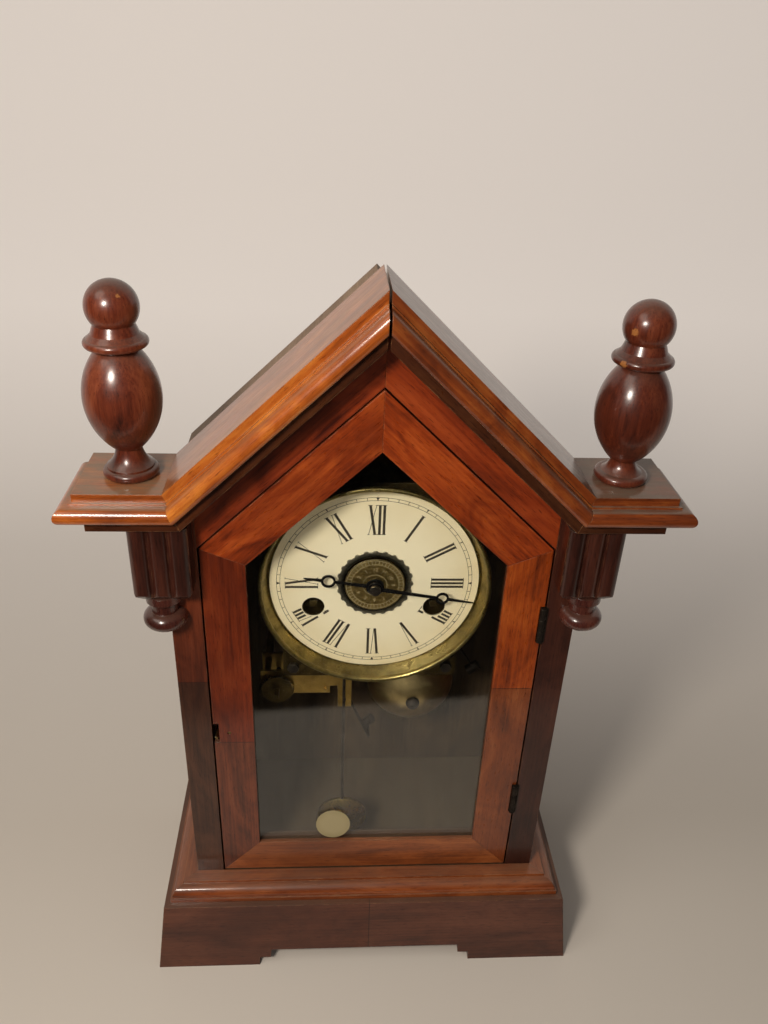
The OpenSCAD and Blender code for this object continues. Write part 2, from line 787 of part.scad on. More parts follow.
module plate_outline() polygon([
    [-plate_half, plate_low], [plate_half, plate_low], [plate_half, plate_top - 16],
    [plate_half - 16, plate_top], [-plate_half + 16, plate_top], [-plate_half, plate_top - 16]
]);

module pillar_spots() for (x = [-pillar_x, pillar_x], z = [pillar_low, pillar_top - 16])
    translate([x, 0, z]) children();

module plate_bores(y0, y1) {
    pillar_spots() bar(0, 0, 2, y0, y1);
    winding_holes(wind_r + run_fit, y0, y1);
    bar(0, dial_z, arbor_r + run_fit, y0, y1);
    bar(swing_x, escape_z, stud_r - 0.1 + run_fit, y0, y1);
    bar(strike_x, strike_z, arbor_r + run_fit, y0, y1);
}

// Plate with the studs of the pendulum, the verge and the minute wheel.
module front_plate() color("gold") in_case() {
    difference() {
        slab(plate_y, plate_y + plate_t) plate_outline();
        plate_bores(plate_y - 1, plate_y + plate_t + 1);
        for (s = [-1, 1]) bar(s * window_x, window_z, window_r, plate_y - 1, plate_y + plate_t + 1);
    }
    for (s = [-1, 1])
        bar(s * wind_x, dial_z + wind_dz - spring_low - spring_post, spring_post, plate_y + 0.5, spring_y + spring_h + 1);
    bar(swing_x, swing_z, 2.5, 31, plate_y + 0.5);
    bar(swing_x, swing_z, stud_r, 27, plate_y);
    bar(swing_x, swing_z, 2, 26.2, 27.2);
    bar(swing_x, verge_z, stud_r - 0.2, 31.5, plate_y + 0.5);
    translate([0, 0, dial_z]) {
        x = motion_c * cos(motion_angle);
        z = motion_c * sin(motion_angle);
        bar(x, z, stud_r, 25, plate_y + 0.5);
        bar(x, z, 2.2, 34.3, plate_y + 0.5);
    }
}

module back_plate() color("gold") in_case() difference() {
    slab(back_plate_y, back_plate_y + plate_t) plate_outline();
    plate_bores(back_plate_y - 1, back_plate_y + plate_t + 1);
}

module pillars() color("silver") in_case() pillar_spots() {
    bar(0, 0, 2 - run_fit, plate_y - 1, back_y);
    bar(0, 0, pillar_r, plate_y + plate_t, back_plate_y);
    bar(0, 0, pillar_r, back_plate_y + plate_t, back_y);
    translate([0, plate_y, 0]) rotate([90, 0, 0]) cylinder(r = 3.6, h = 2.4, $fn = 6);
}

module winding_arbor() {
    z = dial_z + wind_dz;
    translate([-key_half, plate_y - 13.5, z - key_half]) cube([2 * key_half, 13, 2 * key_half]);
    bar(0, z, wind_r, plate_y - 1.2, back_plate_y + 3);
    bar(0, z, spring_in - 0.05, plate_y + plate_t + 1, great_y);
    translate([0, 0, z]) difference() {
        gear_disc(great_teeth, 2 * great_r / great_teeth, 0, great_y, great_y + great_wall);
        for (i = [0 : 4]) rotate([0, 72 * i, 0]) bar(0.58 * great_r, 0, 5.6, great_y - 1, great_y + great_wall + 1);
    }
    slab(great_y - ratchet_t, great_y) translate([0, z])
        polygon([for (i = [0 : 15]) each [polar(6.6, 22.5 * i), polar(8.2, 22.5 * i + 3)]]);
}

module winding_arbor_time() color("goldenrod") in_case() translate([wind_x, 0, 0]) winding_arbor();

module winding_arbor_strike() color("goldenrod") in_case() translate([-wind_x, 0, 0]) mirror([1, 0, 0]) winding_arbor();

module mainsprings() color("slategray") in_case() for (s = [0, 1]) mirror([s, 0, 0])
    translate([wind_x, 0, dial_z + wind_dz])
        slab(spring_y, spring_y + spring_h) polygon(spiral(spring_turns, spring_in, spring_pitch, spring_t, spring_step));

module escape_wheel() color("gold") in_case() translate([swing_x, 0, escape_z]) {
    bar(0, 0, stud_r - 0.1, escape_y - 0.4, back_plate_y + 3);
    difference() {
        slab(escape_y, escape_y + escape_t) polygon([
            for (i = [0 : 29]) each [polar(escape_r - 2, 12 * i), polar(escape_r, 12 * i + 1), polar(escape_r - 2, 12 * i + 5)]
        ]);
        for (i = [0 : 3]) rotate([0, 90 * i, 0]) bar(5.2, 0, 2.6, escape_y - 0.6, escape_y + escape_t + 0.4);
    }
}

// Pallet strip on its saddle, with the crutch wire and its fork.
module verge() color("silver") in_case() {
    in_r = escape_r + 1.2;
    difference() {
        union() {
            bar(swing_x, verge_z, 2, 32.2, 37.2);
            slab(34.2, 36) translate([swing_x, escape_z]) intersection() {
                difference() {
                    circle(r = in_r + 0.9);
                    circle(r = in_r);
                }
                polygon([[0, 0], polar(20, 52), [0, 24], polar(20, 128)]);
            }
            slab(34.2, 36) translate([swing_x, 0])
                polygon([[-1.2, escape_z + in_r + 0.3], [1.2, escape_z + in_r + 0.3], [1, verge_z], [-1, verge_z]]);
            rod([swing_x, 33, crutch_z], [swing_x, 33, verge_z], 0.5);
        }
        bar(swing_x, verge_z, stud_r - 0.2 + run_fit, 32, 38);
    }
    translate([swing_x - 2.4, 32.6, crutch_z - 0.5]) cube([4.8, 0.8, 1]);
    for (s = [-1, 1]) translate([swing_x + s * 1.9 - 0.5, 27.6, crutch_z - 0.5]) cube([1, 5.4, 1]);
}

module pendulum_rod() color("darkkhaki") in_case() translate([swing_x, 0, 0]) {
    difference() {
        union() {
            bar(0, swing_z, 2.4, swing_y - 1, swing_y + 1);
            translate([-1.2, swing_y - 0.3, swing_z - 16]) cube([2.4, 0.6, 15]);
        }
        bar(0, swing_z, stud_r + run_fit, swing_y - 2, swing_y + 2);
    }
    translate([0, swing_y, bob_z - bob_r - 3.4]) cylinder(r = rod_r, h = swing_z - 15 - bob_z + bob_r + 3.4);
    translate([0, swing_y, bob_z - bob_r - 2.6]) cylinder(r = 3.2, h = 2.6);
}

module pendulum_bob() color("goldenrod") in_case() translate([swing_x, 0, 0]) difference() {
    lens = 40;
    edge = 1;
    dome = lens - sqrt(lens * lens - bob_r * bob_r);
    intersection() {
        turn(0, swing_y + edge + dome, bob_z) intersection() {
            translate([0, lens]) circle(r = lens);
            square([bob_r, 2 * (edge + dome)]);
        }
        turn(0, swing_y + edge + dome, bob_z) intersection() {
            translate([0, 2 * (edge + dome) - lens]) circle(r = lens);
            square([bob_r, 2 * (edge + dome)]);
        }
    }
    translate([0, swing_y, bob_z - bob_r - 1]) cylinder(r = rod_r + run_fit, h = 2 * bob_r + 2);
}

/* bell and hammers */

module bell() color("darkgoldenrod") in_case() {
    c = sqrt(bell_sphere * bell_sphere - bell_r * bell_r);
    difference() {
        turn(bell_x, bell_y, bell_z) intersection() {
            difference() {
                translate([0, -c]) circle(r = bell_sphere);
                translate([0, -c]) circle(r = bell_sphere - bell_t);
            }
            square([bell_r + 5, bell_sphere]);
        }
        bar(bell_x, bell_z, 2.4 + run_fit, 30, bell_y);
    }
}

module bell_post() color("dimgray") in_case() {
    c = sqrt(bell_sphere * bell_sphere - bell_r * bell_r);
    crown = bell_y - (bell_sphere - c);
    bar(bell_x, bell_z, 2.4, crown - 3, back_y);
    bar(bell_x, bell_z, 4, crown + bell_t + 0.2, back_y);
    bar(bell_x, bell_z, 9, back_y - 2, back_y);
    turn(bell_x, crown - 0.3, bell_z) intersection() {
        circle(r = 4.4);
        square([4.4, 4]);
    }
}

module hammer_head(x, z, angle, y) translate([x, y, z]) rotate([0, angle, 0])
    translate([0, 0, -4]) cylinder(r = 3.2, h = 8);

module strike_hammer() color("dimgray") in_case() {
    tip = [strike_x + 20, strike_y, strike_z - strike_len];
    bar(strike_x, strike_z, arbor_r, plate_y + 1, back_plate_y + 1);
    bar(strike_x, strike_z, 3, strike_y - 3, strike_y + 3);
    rod([strike_x, strike_y, strike_z], tip, rod_r);
    hammer_head(tip[0], tip[2], 52, strike_y);
}

module alarm_bores(y0, y1) {
    bar(alarm_x, alarm_z, arbor_r + run_fit, y0, y1);
    bar(hammer_x, hammer_z, stud_r + run_fit, y0, y1);
}

// Two plates on posts, with the pins that hold the front one.
module alarm_plates() color("gold") in_case() {
    low = alarm_z - 6;
    tab = alarm_right - 8.4;
    front_end = alarm_plate_y + plate_t;
    back_end = alarm_back_y + plate_t;
    difference() {
        slab(alarm_plate_y, front_end) polygon([
            [alarm_left, alarm_z + 12], [alarm_left, alarm_z - 2], [alarm_left + 6, low + 0.5], [tab - 5, low + 0.5],
            [tab - 5, alarm_z], [tab, alarm_z], [tab, hammer_z - 6], [alarm_right, hammer_z - 6], [alarm_right, alarm_z + 12]
        ]);
        alarm_bores(alarm_plate_y - 1, front_end + 1);
    }
    difference() {
        slab(alarm_back_y, back_end) polygon([
            [alarm_left, alarm_z + 12], [alarm_left, low], [tab, low], [tab, hammer_z - 6],
            [alarm_right, hammer_z - 6], [alarm_right, alarm_z + 12]
        ]);
        alarm_bores(alarm_back_y - 1, back_end + 1);
    }
    for (p = [[alarm_left + 4, alarm_z + 8], [tab - 7.5, alarm_z - 2]]) {
        bar(p[0], p[1], 2, alarm_plate_y + 0.5, alarm_back_y + 0.5);
        bar(p[0], p[1], 2.6, alarm_back_y + 1, back_y);
        bar(p[0], p[1], 1.2, alarm_plate_y - 1.6, alarm_plate_y + 1);
    }
}

module alarm_arbor() color("darkslategray") in_case() {
    square_half = 1.3;
    wheel_y = alarm_plate_y - 3.5;
    bar(alarm_x, alarm_z, arbor_r, wheel_y - 0.5, alarm_back_y + 2);
    translate([alarm_x - square_half, wheel_y - 6.5, alarm_z - square_half])
        cube([2 * square_half, 7, 2 * square_half]);
    translate([alarm_x, 0, alarm_z]) gear_disc(36, gear_m, 0, wheel_y, wheel_y + 1.5);
    bar(alarm_x, alarm_z, 3, wheel_y + 1.5, alarm_plate_y - 0.4);
}

module alarm_hammer() color("dimgray") in_case() {
    tip = [hammer_x + 16.5, hammer_y, hammer_z - 41];
    head_y = hammer_y + 14;
    bar(hammer_x, hammer_z, stud_r, alarm_plate_y - 1, alarm_back_y + 2);
    bar(hammer_x, hammer_z, 2.4, hammer_y - 2, hammer_y + 2);
    rod([hammer_x, hammer_y, hammer_z], tip, rod_r);
    translate([tip[0], 0, tip[2]]) bar(0, 0, rod_r, hammer_y - 0.7, head_y);
    hammer_head(tip[0], tip[2], 45, head_y);
}

plinth_front();
plinth_sides();
base_moulding_front();
base_moulding_sides();
case_floor();
case_side_left();
case_side_right();
back_board();
roof_board_left();
roof_board_right();
stile_left();
stile_right();
gable_left();
gable_right();
rake_moulding_left();
rake_moulding_right();
cornice_block_left();
cornice_block_right();
bracket_left();
bracket_right();
pendant_left();
pendant_right();
finial(-1, foot_left);  // finial_left
finial(1, foot_right);  // finial_right
door_stile_left();
door_stile_right();
door_rail();
door_gable_left();
door_gable_right();
door_glass();
glazing_beads();
hinge_door_leaves();
hinge_case_leaves();
door_catch();
dial_pan();
dial_bezel();
dial_eyelet();
dial_paper();
alarm_disc();
hour_hand();
minute_hand();
hour_wheel();
centre_arbor();
minute_wheel();
front_plate();
back_plate();
pillars();
winding_arbor_time();
winding_arbor_strike();
mainsprings();
escape_wheel();
verge();
pendulum_rod();
pendulum_bob();
strike_hammer();
bell();
bell_post();
alarm_plates();
alarm_arbor();
alarm_hammer();
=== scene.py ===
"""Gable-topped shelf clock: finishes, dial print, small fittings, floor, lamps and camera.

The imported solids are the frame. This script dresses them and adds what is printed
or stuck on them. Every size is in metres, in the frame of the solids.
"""

import logging
import math
from dataclasses import dataclass, field, replace
from enum import Enum
from typing import Iterable, Sequence, Union

import bmesh
import bpy
from mathutils import Matrix, Vector


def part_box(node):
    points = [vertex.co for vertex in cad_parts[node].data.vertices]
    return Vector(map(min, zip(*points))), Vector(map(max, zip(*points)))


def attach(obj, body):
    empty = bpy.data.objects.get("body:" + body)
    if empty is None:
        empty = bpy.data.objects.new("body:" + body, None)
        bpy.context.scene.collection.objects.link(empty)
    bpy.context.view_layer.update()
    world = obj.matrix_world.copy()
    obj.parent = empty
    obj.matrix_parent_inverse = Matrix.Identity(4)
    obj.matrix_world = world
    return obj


Tree = bpy.types.NodeTree
Socket = bpy.types.NodeSocket
Material = bpy.types.Material
Pair = tuple[float, float]
Triple = tuple[float, float, float]
Colour = tuple[float, float, float, float]
Stops = tuple[str, str, str]
Outlines = list[list[Pair]]
Knocks = Sequence[tuple[Vector, float]]
Source = Union[Socket, float, Sequence[float]]

LOG = logging.getLogger("shelf_clock")
MM = 0.001
UP = (0.0, 0.0, 1.0)
STILL = (0.0, 0.0, 0.0)
# Slope of the gable in degrees from the level.
PITCH = 43.7
# Print and engraving stand this far in front of their face, from back to front.
PRINT_BACK = 0.01 * MM
PRINT_FRONT = 0.05 * MM

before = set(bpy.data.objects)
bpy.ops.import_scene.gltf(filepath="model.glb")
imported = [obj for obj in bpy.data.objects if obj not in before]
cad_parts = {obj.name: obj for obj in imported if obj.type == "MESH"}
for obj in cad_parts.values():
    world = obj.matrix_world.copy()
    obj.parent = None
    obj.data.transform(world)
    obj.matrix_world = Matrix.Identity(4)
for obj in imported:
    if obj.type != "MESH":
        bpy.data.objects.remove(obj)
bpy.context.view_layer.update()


# ------------------------ node helpers


def linear(code: str) -> Colour:
    """Turns an sRGB hex colour into linear values.

    Args:
        code: six hex digits.

    Returns:
        Linear red, green, blue and an alpha of one.
    """
    parts = [int(code[i : i + 2], 16) / 255 for i in (0, 2, 4)]
    rgb = [c / 12.92 if c <= 0.04045 else ((c + 0.055) / 1.055) ** 2.4 for c in parts]
    return rgb[0], rgb[1], rgb[2], 1.0


def add(tree: Tree, kind: str, links: dict | None = None, **settings) -> bpy.types.Node:
    """Adds a node with its settings and links.

    Args:
        tree: the node tree.
        kind: the node's class name.
        links: input name or number to a source socket or a plain value.
        settings: attributes of the node.

    Returns:
        The new node.
    """
    node = tree.nodes.new(kind)
    for key, value in settings.items():
        setattr(node, key, value)
    for key, value in (links or {}).items():
        if isinstance(value, Socket):
            tree.links.new(value, node.inputs[key])
        else:
            node.inputs[key].default_value = value
    return node


def blank(name: str) -> tuple[Material, Tree, bpy.types.Node]:
    """Makes an empty node material with a Principled shader and an output.

    Args:
        name: the material's name.

    Returns:
        The material, its tree and the shader.
    """
    material = bpy.data.materials.new(name)
    material.use_nodes = True
    tree = material.node_tree
    tree.nodes.clear()
    shader = tree.nodes.new("ShaderNodeBsdfPrincipled")
    output = tree.nodes.new("ShaderNodeOutputMaterial")
    tree.links.new(shader.outputs[0], output.inputs[0])
    return material, tree, shader


def here(tree: Tree) -> Socket:
    """Gives the place on the surface, in metres of the shared frame."""
    return add(tree, "ShaderNodeTexCoord").outputs["Object"]


def ramp(tree: Tree, value: Socket, stops: Sequence[tuple[float, str]]) -> Socket:
    """Maps a value to hex colours.

    Args:
        tree: the node tree.
        value: the factor.
        stops: positions and hex colours, in order.

    Returns:
        The colour socket.
    """
    node = add(tree, "ShaderNodeValToRGB", {"Fac": value})
    while len(node.color_ramp.elements) < len(stops):
        node.color_ramp.elements.new(0.5)
    for element, (position, code) in zip(node.color_ramp.elements, stops):
        element.position = position
        element.color = linear(code)
    return node.outputs[0]


def band(
    tree: Tree, value: Socket, low: float, high: float, to_low: float = 0.0, to_high: float = 1.0,
) -> Socket:
    """Maps a value from one range to another and clamps it.

    Args:
        tree: the node tree.
        value: the value to map.
        low: start of the range.
        high: end of the range.
        to_low: result at the start.
        to_high: result at the end.

    Returns:
        The mapped value.
    """
    links = {"Value": value, "From Min": low, "From Max": high, "To Min": to_low, "To Max": to_high}
    return add(tree, "ShaderNodeMapRange", links, clamp=True).outputs[0]


def mixed(tree: Tree, factor: Source, first: Source, second: Source, blend: str = "MIX") -> Socket:
    """Mixes two colours.

    Args:
        tree: the node tree.
        factor: socket or number.
        first: socket or linear colour.
        second: socket or linear colour.
        blend: Blender's blend type.

    Returns:
        The colour socket.
    """
    links = {0: factor, 6: first, 7: second}
    return add(tree, "ShaderNodeMix", links, data_type="RGBA", blend_type=blend).outputs[2]


def maths(tree: Tree, operation: str, first: Source, second: Source = 0.0) -> Socket:
    """Does one sum on two values."""
    return add(tree, "ShaderNodeMath", {0: first, 1: second}, operation=operation).outputs[0]


def measure(tree: Tree, operation: str, first: Source, second: Source) -> Socket:
    """Measures two vectors against each other, by distance or dot product."""
    return add(tree, "ShaderNodeVectorMath", {0: first, 1: second}, operation=operation).outputs["Value"]


def noise(
    tree: Tree, turn: Triple, across: float, along: float, detail: float,
    rough: float = 0.5, warp: float = 0.0,
) -> Socket:
    """Makes a cloudy pattern of a real size.

    Args:
        tree: the node tree.
        turn: rotation that brings the grain to Z, in radians.
        across: pattern size across the grain, in metres.
        along: pattern size along the grain, in metres.
        detail: number of finer layers.
        rough: strength of the finer layers.
        warp: how far the pattern is drawn out of shape.

    Returns:
        The pattern's value.
    """
    turned = add(tree, "ShaderNodeMapping", {"Vector": here(tree), "Rotation": turn}).outputs[0]
    scale = (1 / across, 1 / across, 1 / along)
    sized = add(tree, "ShaderNodeMapping", {"Vector": turned, "Scale": scale}).outputs[0]
    links = {"Vector": sized, "Scale": 1.0, "Detail": detail, "Roughness": rough, "Distortion": warp}
    return add(tree, "ShaderNodeTexNoise", links).outputs[0]


def arris(tree: Tree, radius: float, strength: float = 1.0) -> tuple[Socket, Socket]:
    """Finds the edges of a solid, where a rounded normal leaves the true one.

    Args:
        tree: the node tree.
        radius: radius of the rounding, in metres.
        strength: value of the mask on an edge.

    Returns:
        The rounded normal and the mask of the edges.
    """
    bevel = add(tree, "ShaderNodeBevel", {"Radius": radius}, samples=4).outputs[0]
    flat = add(tree, "ShaderNodeNewGeometry").outputs["True Normal"]
    return bevel, band(tree, measure(tree, "DOT_PRODUCT", bevel, flat), 0.985, 0.86, 0.0, strength)


# ------------------------ finishes


class Grain(Enum):
    """The way the wood's grain runs, as the turn that brings it upright."""

    UPRIGHT = (0.0, 0.0, 0.0)
    ACROSS = (0.0, math.radians(90), 0.0)
    DEPTH = (math.radians(90), 0.0, 0.0)
    RAKE_RIGHT = (0.0, math.radians(90 - PITCH), 0.0)
    RAKE_LEFT = (0.0, math.radians(PITCH - 90), 0.0)


@dataclass(frozen=True)
class Mahogany:
    """Mahogany, solid or sliced as veneer, stained and varnished with shellac, then a century of handling.

    To the eye: a mottled red-brown figure under a wet gloss, short dark pores along the
    grain, rubbed pale arrises and a film of grey dust on whatever faces up. The stained
    birch and the pine are built the same way, with their own colours and gloss.
    """

    name: str
    dark: str
    body: str
    light: str
    figure: float = 30 * MM
    streak: float = 1.6 * MM
    contrast: float = 1.0
    gloss: float = 0.6
    roughness: float = 0.36
    wear: float = 0.3
    worn: str = "b07a4c"
    dust: float = 0.3
    dusty: str = "6e5a49"
    settle: float = 0.45
    bare: str = "a46a38"
    rings: float = 0.0
    coat_roughness: float = 0.14

    def colour(self, tree: Tree, grain: Grain, stops: Stops) -> Socket:
        """Builds the figured colour of the bare varnished wood.

        Args:
            tree: the node tree.
            grain: the way the grain runs.
            stops: dark, body and light hex colours.

        Returns:
            The colour socket.
        """
        turn = grain.value
        # Crotch and mottle figure: patches that run 2.6 times as far along the grain as across it.
        figure = noise(tree, turn, self.figure, 2.6 * self.figure, 4.0, 0.6, 1.1)
        # Growth streaks, 45 times as long as they are wide.
        streak = noise(tree, turn, self.streak, 45 * self.streak, 5.0, 0.62, 0.15)
        broad, narrow = maths(tree, "MULTIPLY", figure, 0.62), maths(tree, "MULTIPLY", streak, 0.38)
        blend = maths(tree, "ADD", broad, narrow)
        spread = 0.17 / self.contrast
        value = band(tree, blend, 0.5 - spread, 0.5 + spread)
        base = ramp(tree, value, [(0.0, stops[0]), (0.5, stops[1]), (1.0, stops[2])])
        # Open pores 0.4 mm wide and 5 mm long, drawn a little wider than real ones so that they show.
        pores = noise(tree, turn, 0.42 * MM, 5.5 * MM, 2.0)
        mask = band(tree, pores, 0.60, 0.70, 0.0, 0.6)
        return mixed(tree, mask, base, linear(stops[0]), "MULTIPLY")

    def knocked(self, tree: Tree, turn: Triple, colour: Socket, knocks: Knocks) -> Socket:
        """Lays knocks through the stain, ragged by 1.5 mm, with bare wood in them.

        Args:
            tree: the node tree.
            turn: rotation that brings the grain to Z.
            colour: the colour round the knocks.
            knocks: place and radius of each knock, in metres.

        Returns:
            The colour socket.
        """
        ragged = band(tree, noise(tree, turn, 1.1 * MM, 1.6 * MM, 3.0, 0.6), 0.3, 0.7, 0.0, 1.5 * MM)
        place = here(tree)
        for spot, reach in knocks:
            rim = maths(tree, "ADD", measure(tree, "DISTANCE", place, spot), ragged)
            inside = band(tree, rim, 1.15 * reach, 0.85 * reach, 0.0, 0.85)
            colour = mixed(tree, inside, colour, linear(self.bare))
        return colour

    def relief(self, tree: Tree, turn: Triple, bevel: Socket) -> Socket:
        """Gives the normal of sunk pores, of brushed shellac's soft ripple and of the turner's rings.

        Args:
            tree: the node tree.
            turn: rotation that brings the grain to Z.
            bevel: the rounded normal underneath.

        Returns:
            The normal socket.
        """
        ripple = maths(tree, "MULTIPLY", noise(tree, turn, 3.4 * MM, 9 * MM, 2.0, 0.45), 0.7)
        pores = maths(tree, "MULTIPLY", noise(tree, turn, 0.5 * MM, 6 * MM, 2.0), 0.3)
        height = maths(tree, "ADD", ripple, pores)
        if self.rings > 0:
            # Rings 0.7 mm apart left by the turner's gouge.
            lathe = noise(tree, turn, 120 * MM, 0.7 * MM, 3.0, 0.6)
            height = maths(tree, "ADD", height, maths(tree, "MULTIPLY", lathe, self.rings))
        links = {"Strength": 0.28, "Distance": 0.12 * MM, "Height": height, "Normal": bevel}
        return add(tree, "ShaderNodeBump", links).outputs[0]

    def build(self, grain: Grain, joint: "Joint | None" = None, knocks: Knocks = ()) -> Material:
        """Makes the material for one way of the grain.

        Args:
            grain: the way the grain runs.
            joint: a joint to a second, differently aged length, if there is one.
            knocks: places and radii of knocks through the stain.

        Returns:
            The material.
        """
        suffix = f"_{joint.name}" if joint else ""
        material, tree, shader = blank(f"{self.name}_{grain.name.lower()}{suffix}")
        turn = grain.value
        colour = self.colour(tree, grain, (self.dark, self.body, self.light))
        if joint:
            colour = joint.apply(tree, colour, self.colour(tree, grain, joint.stops))
        # Old polish that has darkened in clouds 55 mm wide and 90 mm long.
        clouds = band(tree, noise(tree, turn, 55 * MM, 90 * MM, 3.0, 0.6), 0.48, 0.68, 0.0, 0.45)
        colour = mixed(tree, clouds, colour, linear(self.dark))
        # Rubbed arrises, over about 0.8 mm.
        bevel, edge = arris(tree, 0.8 * MM)
        scuff = noise(tree, turn, 2.2 * MM, 7 * MM, 4.0, 0.7)
        rubbed = maths(tree, "MULTIPLY", edge, band(tree, scuff, 0.45, 0.62, 0.0, self.wear))
        colour = mixed(tree, rubbed, colour, linear(self.worn))
        if knocks:
            colour = self.knocked(tree, turn, colour, knocks)
        # Dust lies on faces that look up, thinner where it was wiped.
        normal = add(tree, "ShaderNodeNewGeometry").outputs["Normal"]
        upward = add(tree, "ShaderNodeSeparateXYZ", {0: normal}).outputs["Z"]
        wiped = band(tree, noise(tree, turn, 9 * MM, 26 * MM, 5.0, 0.68), 0.30, 0.72, 0.25, self.dust * 1.6)
        film = maths(tree, "MULTIPLY", band(tree, upward, self.settle, 0.95), wiped)
        colour = mixed(tree, film, colour, linear(self.dusty))
        tree.links.new(colour, shader.inputs["Base Color"])
        # Polish is duller where it is scuffed and under the dust.
        scuffed = band(tree, scuff, 0.3, 0.7, self.roughness - 0.07, self.roughness + 0.07)
        rough = maths(tree, "ADD", scuffed, maths(tree, "MULTIPLY", film, 0.30))
        tree.links.new(rough, shader.inputs["Roughness"])
        tree.links.new(self.relief(tree, turn, bevel), shader.inputs["Normal"])
        shader.inputs["IOR"].default_value = 1.5
        shader.inputs["Specular IOR Level"].default_value = 0.3
        shader.inputs["Coat Weight"].default_value = self.gloss
        shader.inputs["Coat Roughness"].default_value = self.coat_roughness
        return material


@dataclass(frozen=True)
class Joint:
    """A straight joint between two lengths of wood that have aged differently; under the cornice's noses it
    also bounds the bed strip's painted shade.

    The normal points from the second length to the first, and the joint lies at this
    distance along it. The stops are the second length's dark, body and light colours.
    """

    name: str
    normal: Triple
    at: float
    stops: Stops
    seam: float = 0.35 * MM
    blur: float = 0.1 * MM

    def apply(self, tree: Tree, first: Socket, second: Socket) -> Socket:
        """Joins two colours at the joint with a dark glue line.

        Args:
            tree: the node tree.
            first: colour on the side that the normal points to.
            second: colour on the other side.

        Returns:
            The colour socket.
        """
        along = measure(tree, "DOT_PRODUCT", here(tree), self.normal)
        side = band(tree, along, self.at - self.blur, self.at + self.blur)
        colour = mixed(tree, side, second, first)
        off = maths(tree, "ABSOLUTE", maths(tree, "SUBTRACT", along, self.at))
        line = band(tree, off, self.seam, 0.4 * self.seam, 0.0, 0.75)
        return mixed(tree, line, colour, linear("1a0d08"))


@dataclass(frozen=True)
class Metal:
    """A metal with tarnish.

    To the eye: a coloured reflection, broken by darker, duller patches of tarnish
    and by fine scratches from wiping.
    """

    name: str
    bright: str
    tarnish: str
    roughness: float
    patch: float = 9 * MM
    amount: float = 0.6
    metallic: float = 1.0
    scratch: float = 0.25
    rub: float = 0.5
    rubbed: str = "d9cfb4"

    def build(self, hub: Vector | None = None, inner: float = 0.0, outer: float = 0.0) -> Material:
        """Makes the material, with painted shade, dark round a hub, where a hub is given.

        Args:
            hub: middle of the painted shade.
            inner: radius out to which the painted shade is full.
            outer: radius at which it ends.

        Returns:
            The material.
        """
        material, tree, shader = blank(self.name)
        patch = noise(tree, STILL, self.patch, self.patch, 6.0, 0.66, 0.4)
        # Wiping marks 0.3 mm wide.
        marks = noise(tree, (0.3, 0.8, 0.2), 0.3 * MM, 9 * MM, 3.0, 0.6)
        dull = band(tree, patch, 0.36, 0.66, 0.0, self.amount)
        colour = mixed(tree, dull, linear(self.bright), linear(self.tarnish))
        # Edges rubbed bright over about 0.25 mm.
        bevel, edge = arris(tree, 0.25 * MM, self.rub)
        colour = mixed(tree, edge, colour, linear(self.rubbed))
        # Painted shade: dark round the hub, for the shadowed tube wall inside the eyelet.
        if hub:
            painted_shade = band(tree, measure(tree, "DISTANCE", here(tree), hub), outer, inner, 0.0, 0.85)
            colour = mixed(tree, painted_shade, colour, linear("12110d"))
        tree.links.new(colour, shader.inputs["Base Color"])
        wiped = band(tree, marks, 0.3, 0.7, self.roughness - 0.06, self.roughness + 0.08)
        rough = maths(tree, "ADD", wiped, maths(tree, "MULTIPLY", dull, 0.22))
        tree.links.new(rough, shader.inputs["Roughness"])
        links = {"Strength": self.scratch, "Distance": 0.04 * MM, "Height": marks, "Normal": bevel}
        tree.links.new(add(tree, "ShaderNodeBump", links).outputs[0], shader.inputs["Normal"])
        shader.inputs["Metallic"].default_value = self.metallic
        return material


@dataclass(frozen=True)
class DialPaper:
    """Rag paper printed and varnished: cream, browner towards its edge, with faint foxing."""

    name: str = "printed_dial_paper"
    cream: str = "f9ecca"
    aged: str = "e2cd9c"
    spot: str = "a98a58"

    def build(self, centre: Vector, radius: float) -> Material:
        """Makes the material.

        Args:
            centre: middle of the dial.
            radius: radius of the paper.

        Returns:
            The material.
        """
        material, tree, shader = blank(self.name)
        out = measure(tree, "DISTANCE", here(tree), centre)
        stain = noise(tree, STILL, 18 * MM, 18 * MM, 5.0, 0.6)
        ring = band(tree, out, 0.55 * radius, radius, 0.0, 0.7)
        mask = maths(tree, "MULTIPLY", band(tree, stain, 0.3, 0.7, 0.3, 1.0), ring)
        colour = mixed(tree, mask, linear(self.cream), linear(self.aged))
        # Foxing: brown specks about 1 mm across.
        fox = noise(tree, STILL, 1.6 * MM, 1.6 * MM, 2.0)
        colour = mixed(tree, band(tree, fox, 0.70, 0.78, 0.0, 0.35), colour, linear(self.spot))
        tree.links.new(colour, shader.inputs["Base Color"])
        fibre = noise(tree, STILL, 0.5 * MM, 0.5 * MM, 3.0)
        bump = add(tree, "ShaderNodeBump", {"Strength": 0.15, "Distance": 0.05 * MM, "Height": fibre})
        tree.links.new(bump.outputs[0], shader.inputs["Normal"])
        shader.inputs["Roughness"].default_value = 0.55
        return material


@dataclass(frozen=True)
class Ink:
    """Printing ink: black, slightly broken where the press left it thin."""

    name: str
    full: str
    thin: str

    def build(self) -> Material:
        """Makes the material.

        Returns:
            The material.
        """
        material, tree, shader = blank(self.name)
        grit = noise(tree, STILL, 0.6 * MM, 0.6 * MM, 3.0)
        tree.links.new(ramp(tree, grit, [(0.35, self.full), (0.8, self.thin)]), shader.inputs["Base Color"])
        shader.inputs["Roughness"].default_value = 0.5
        return material


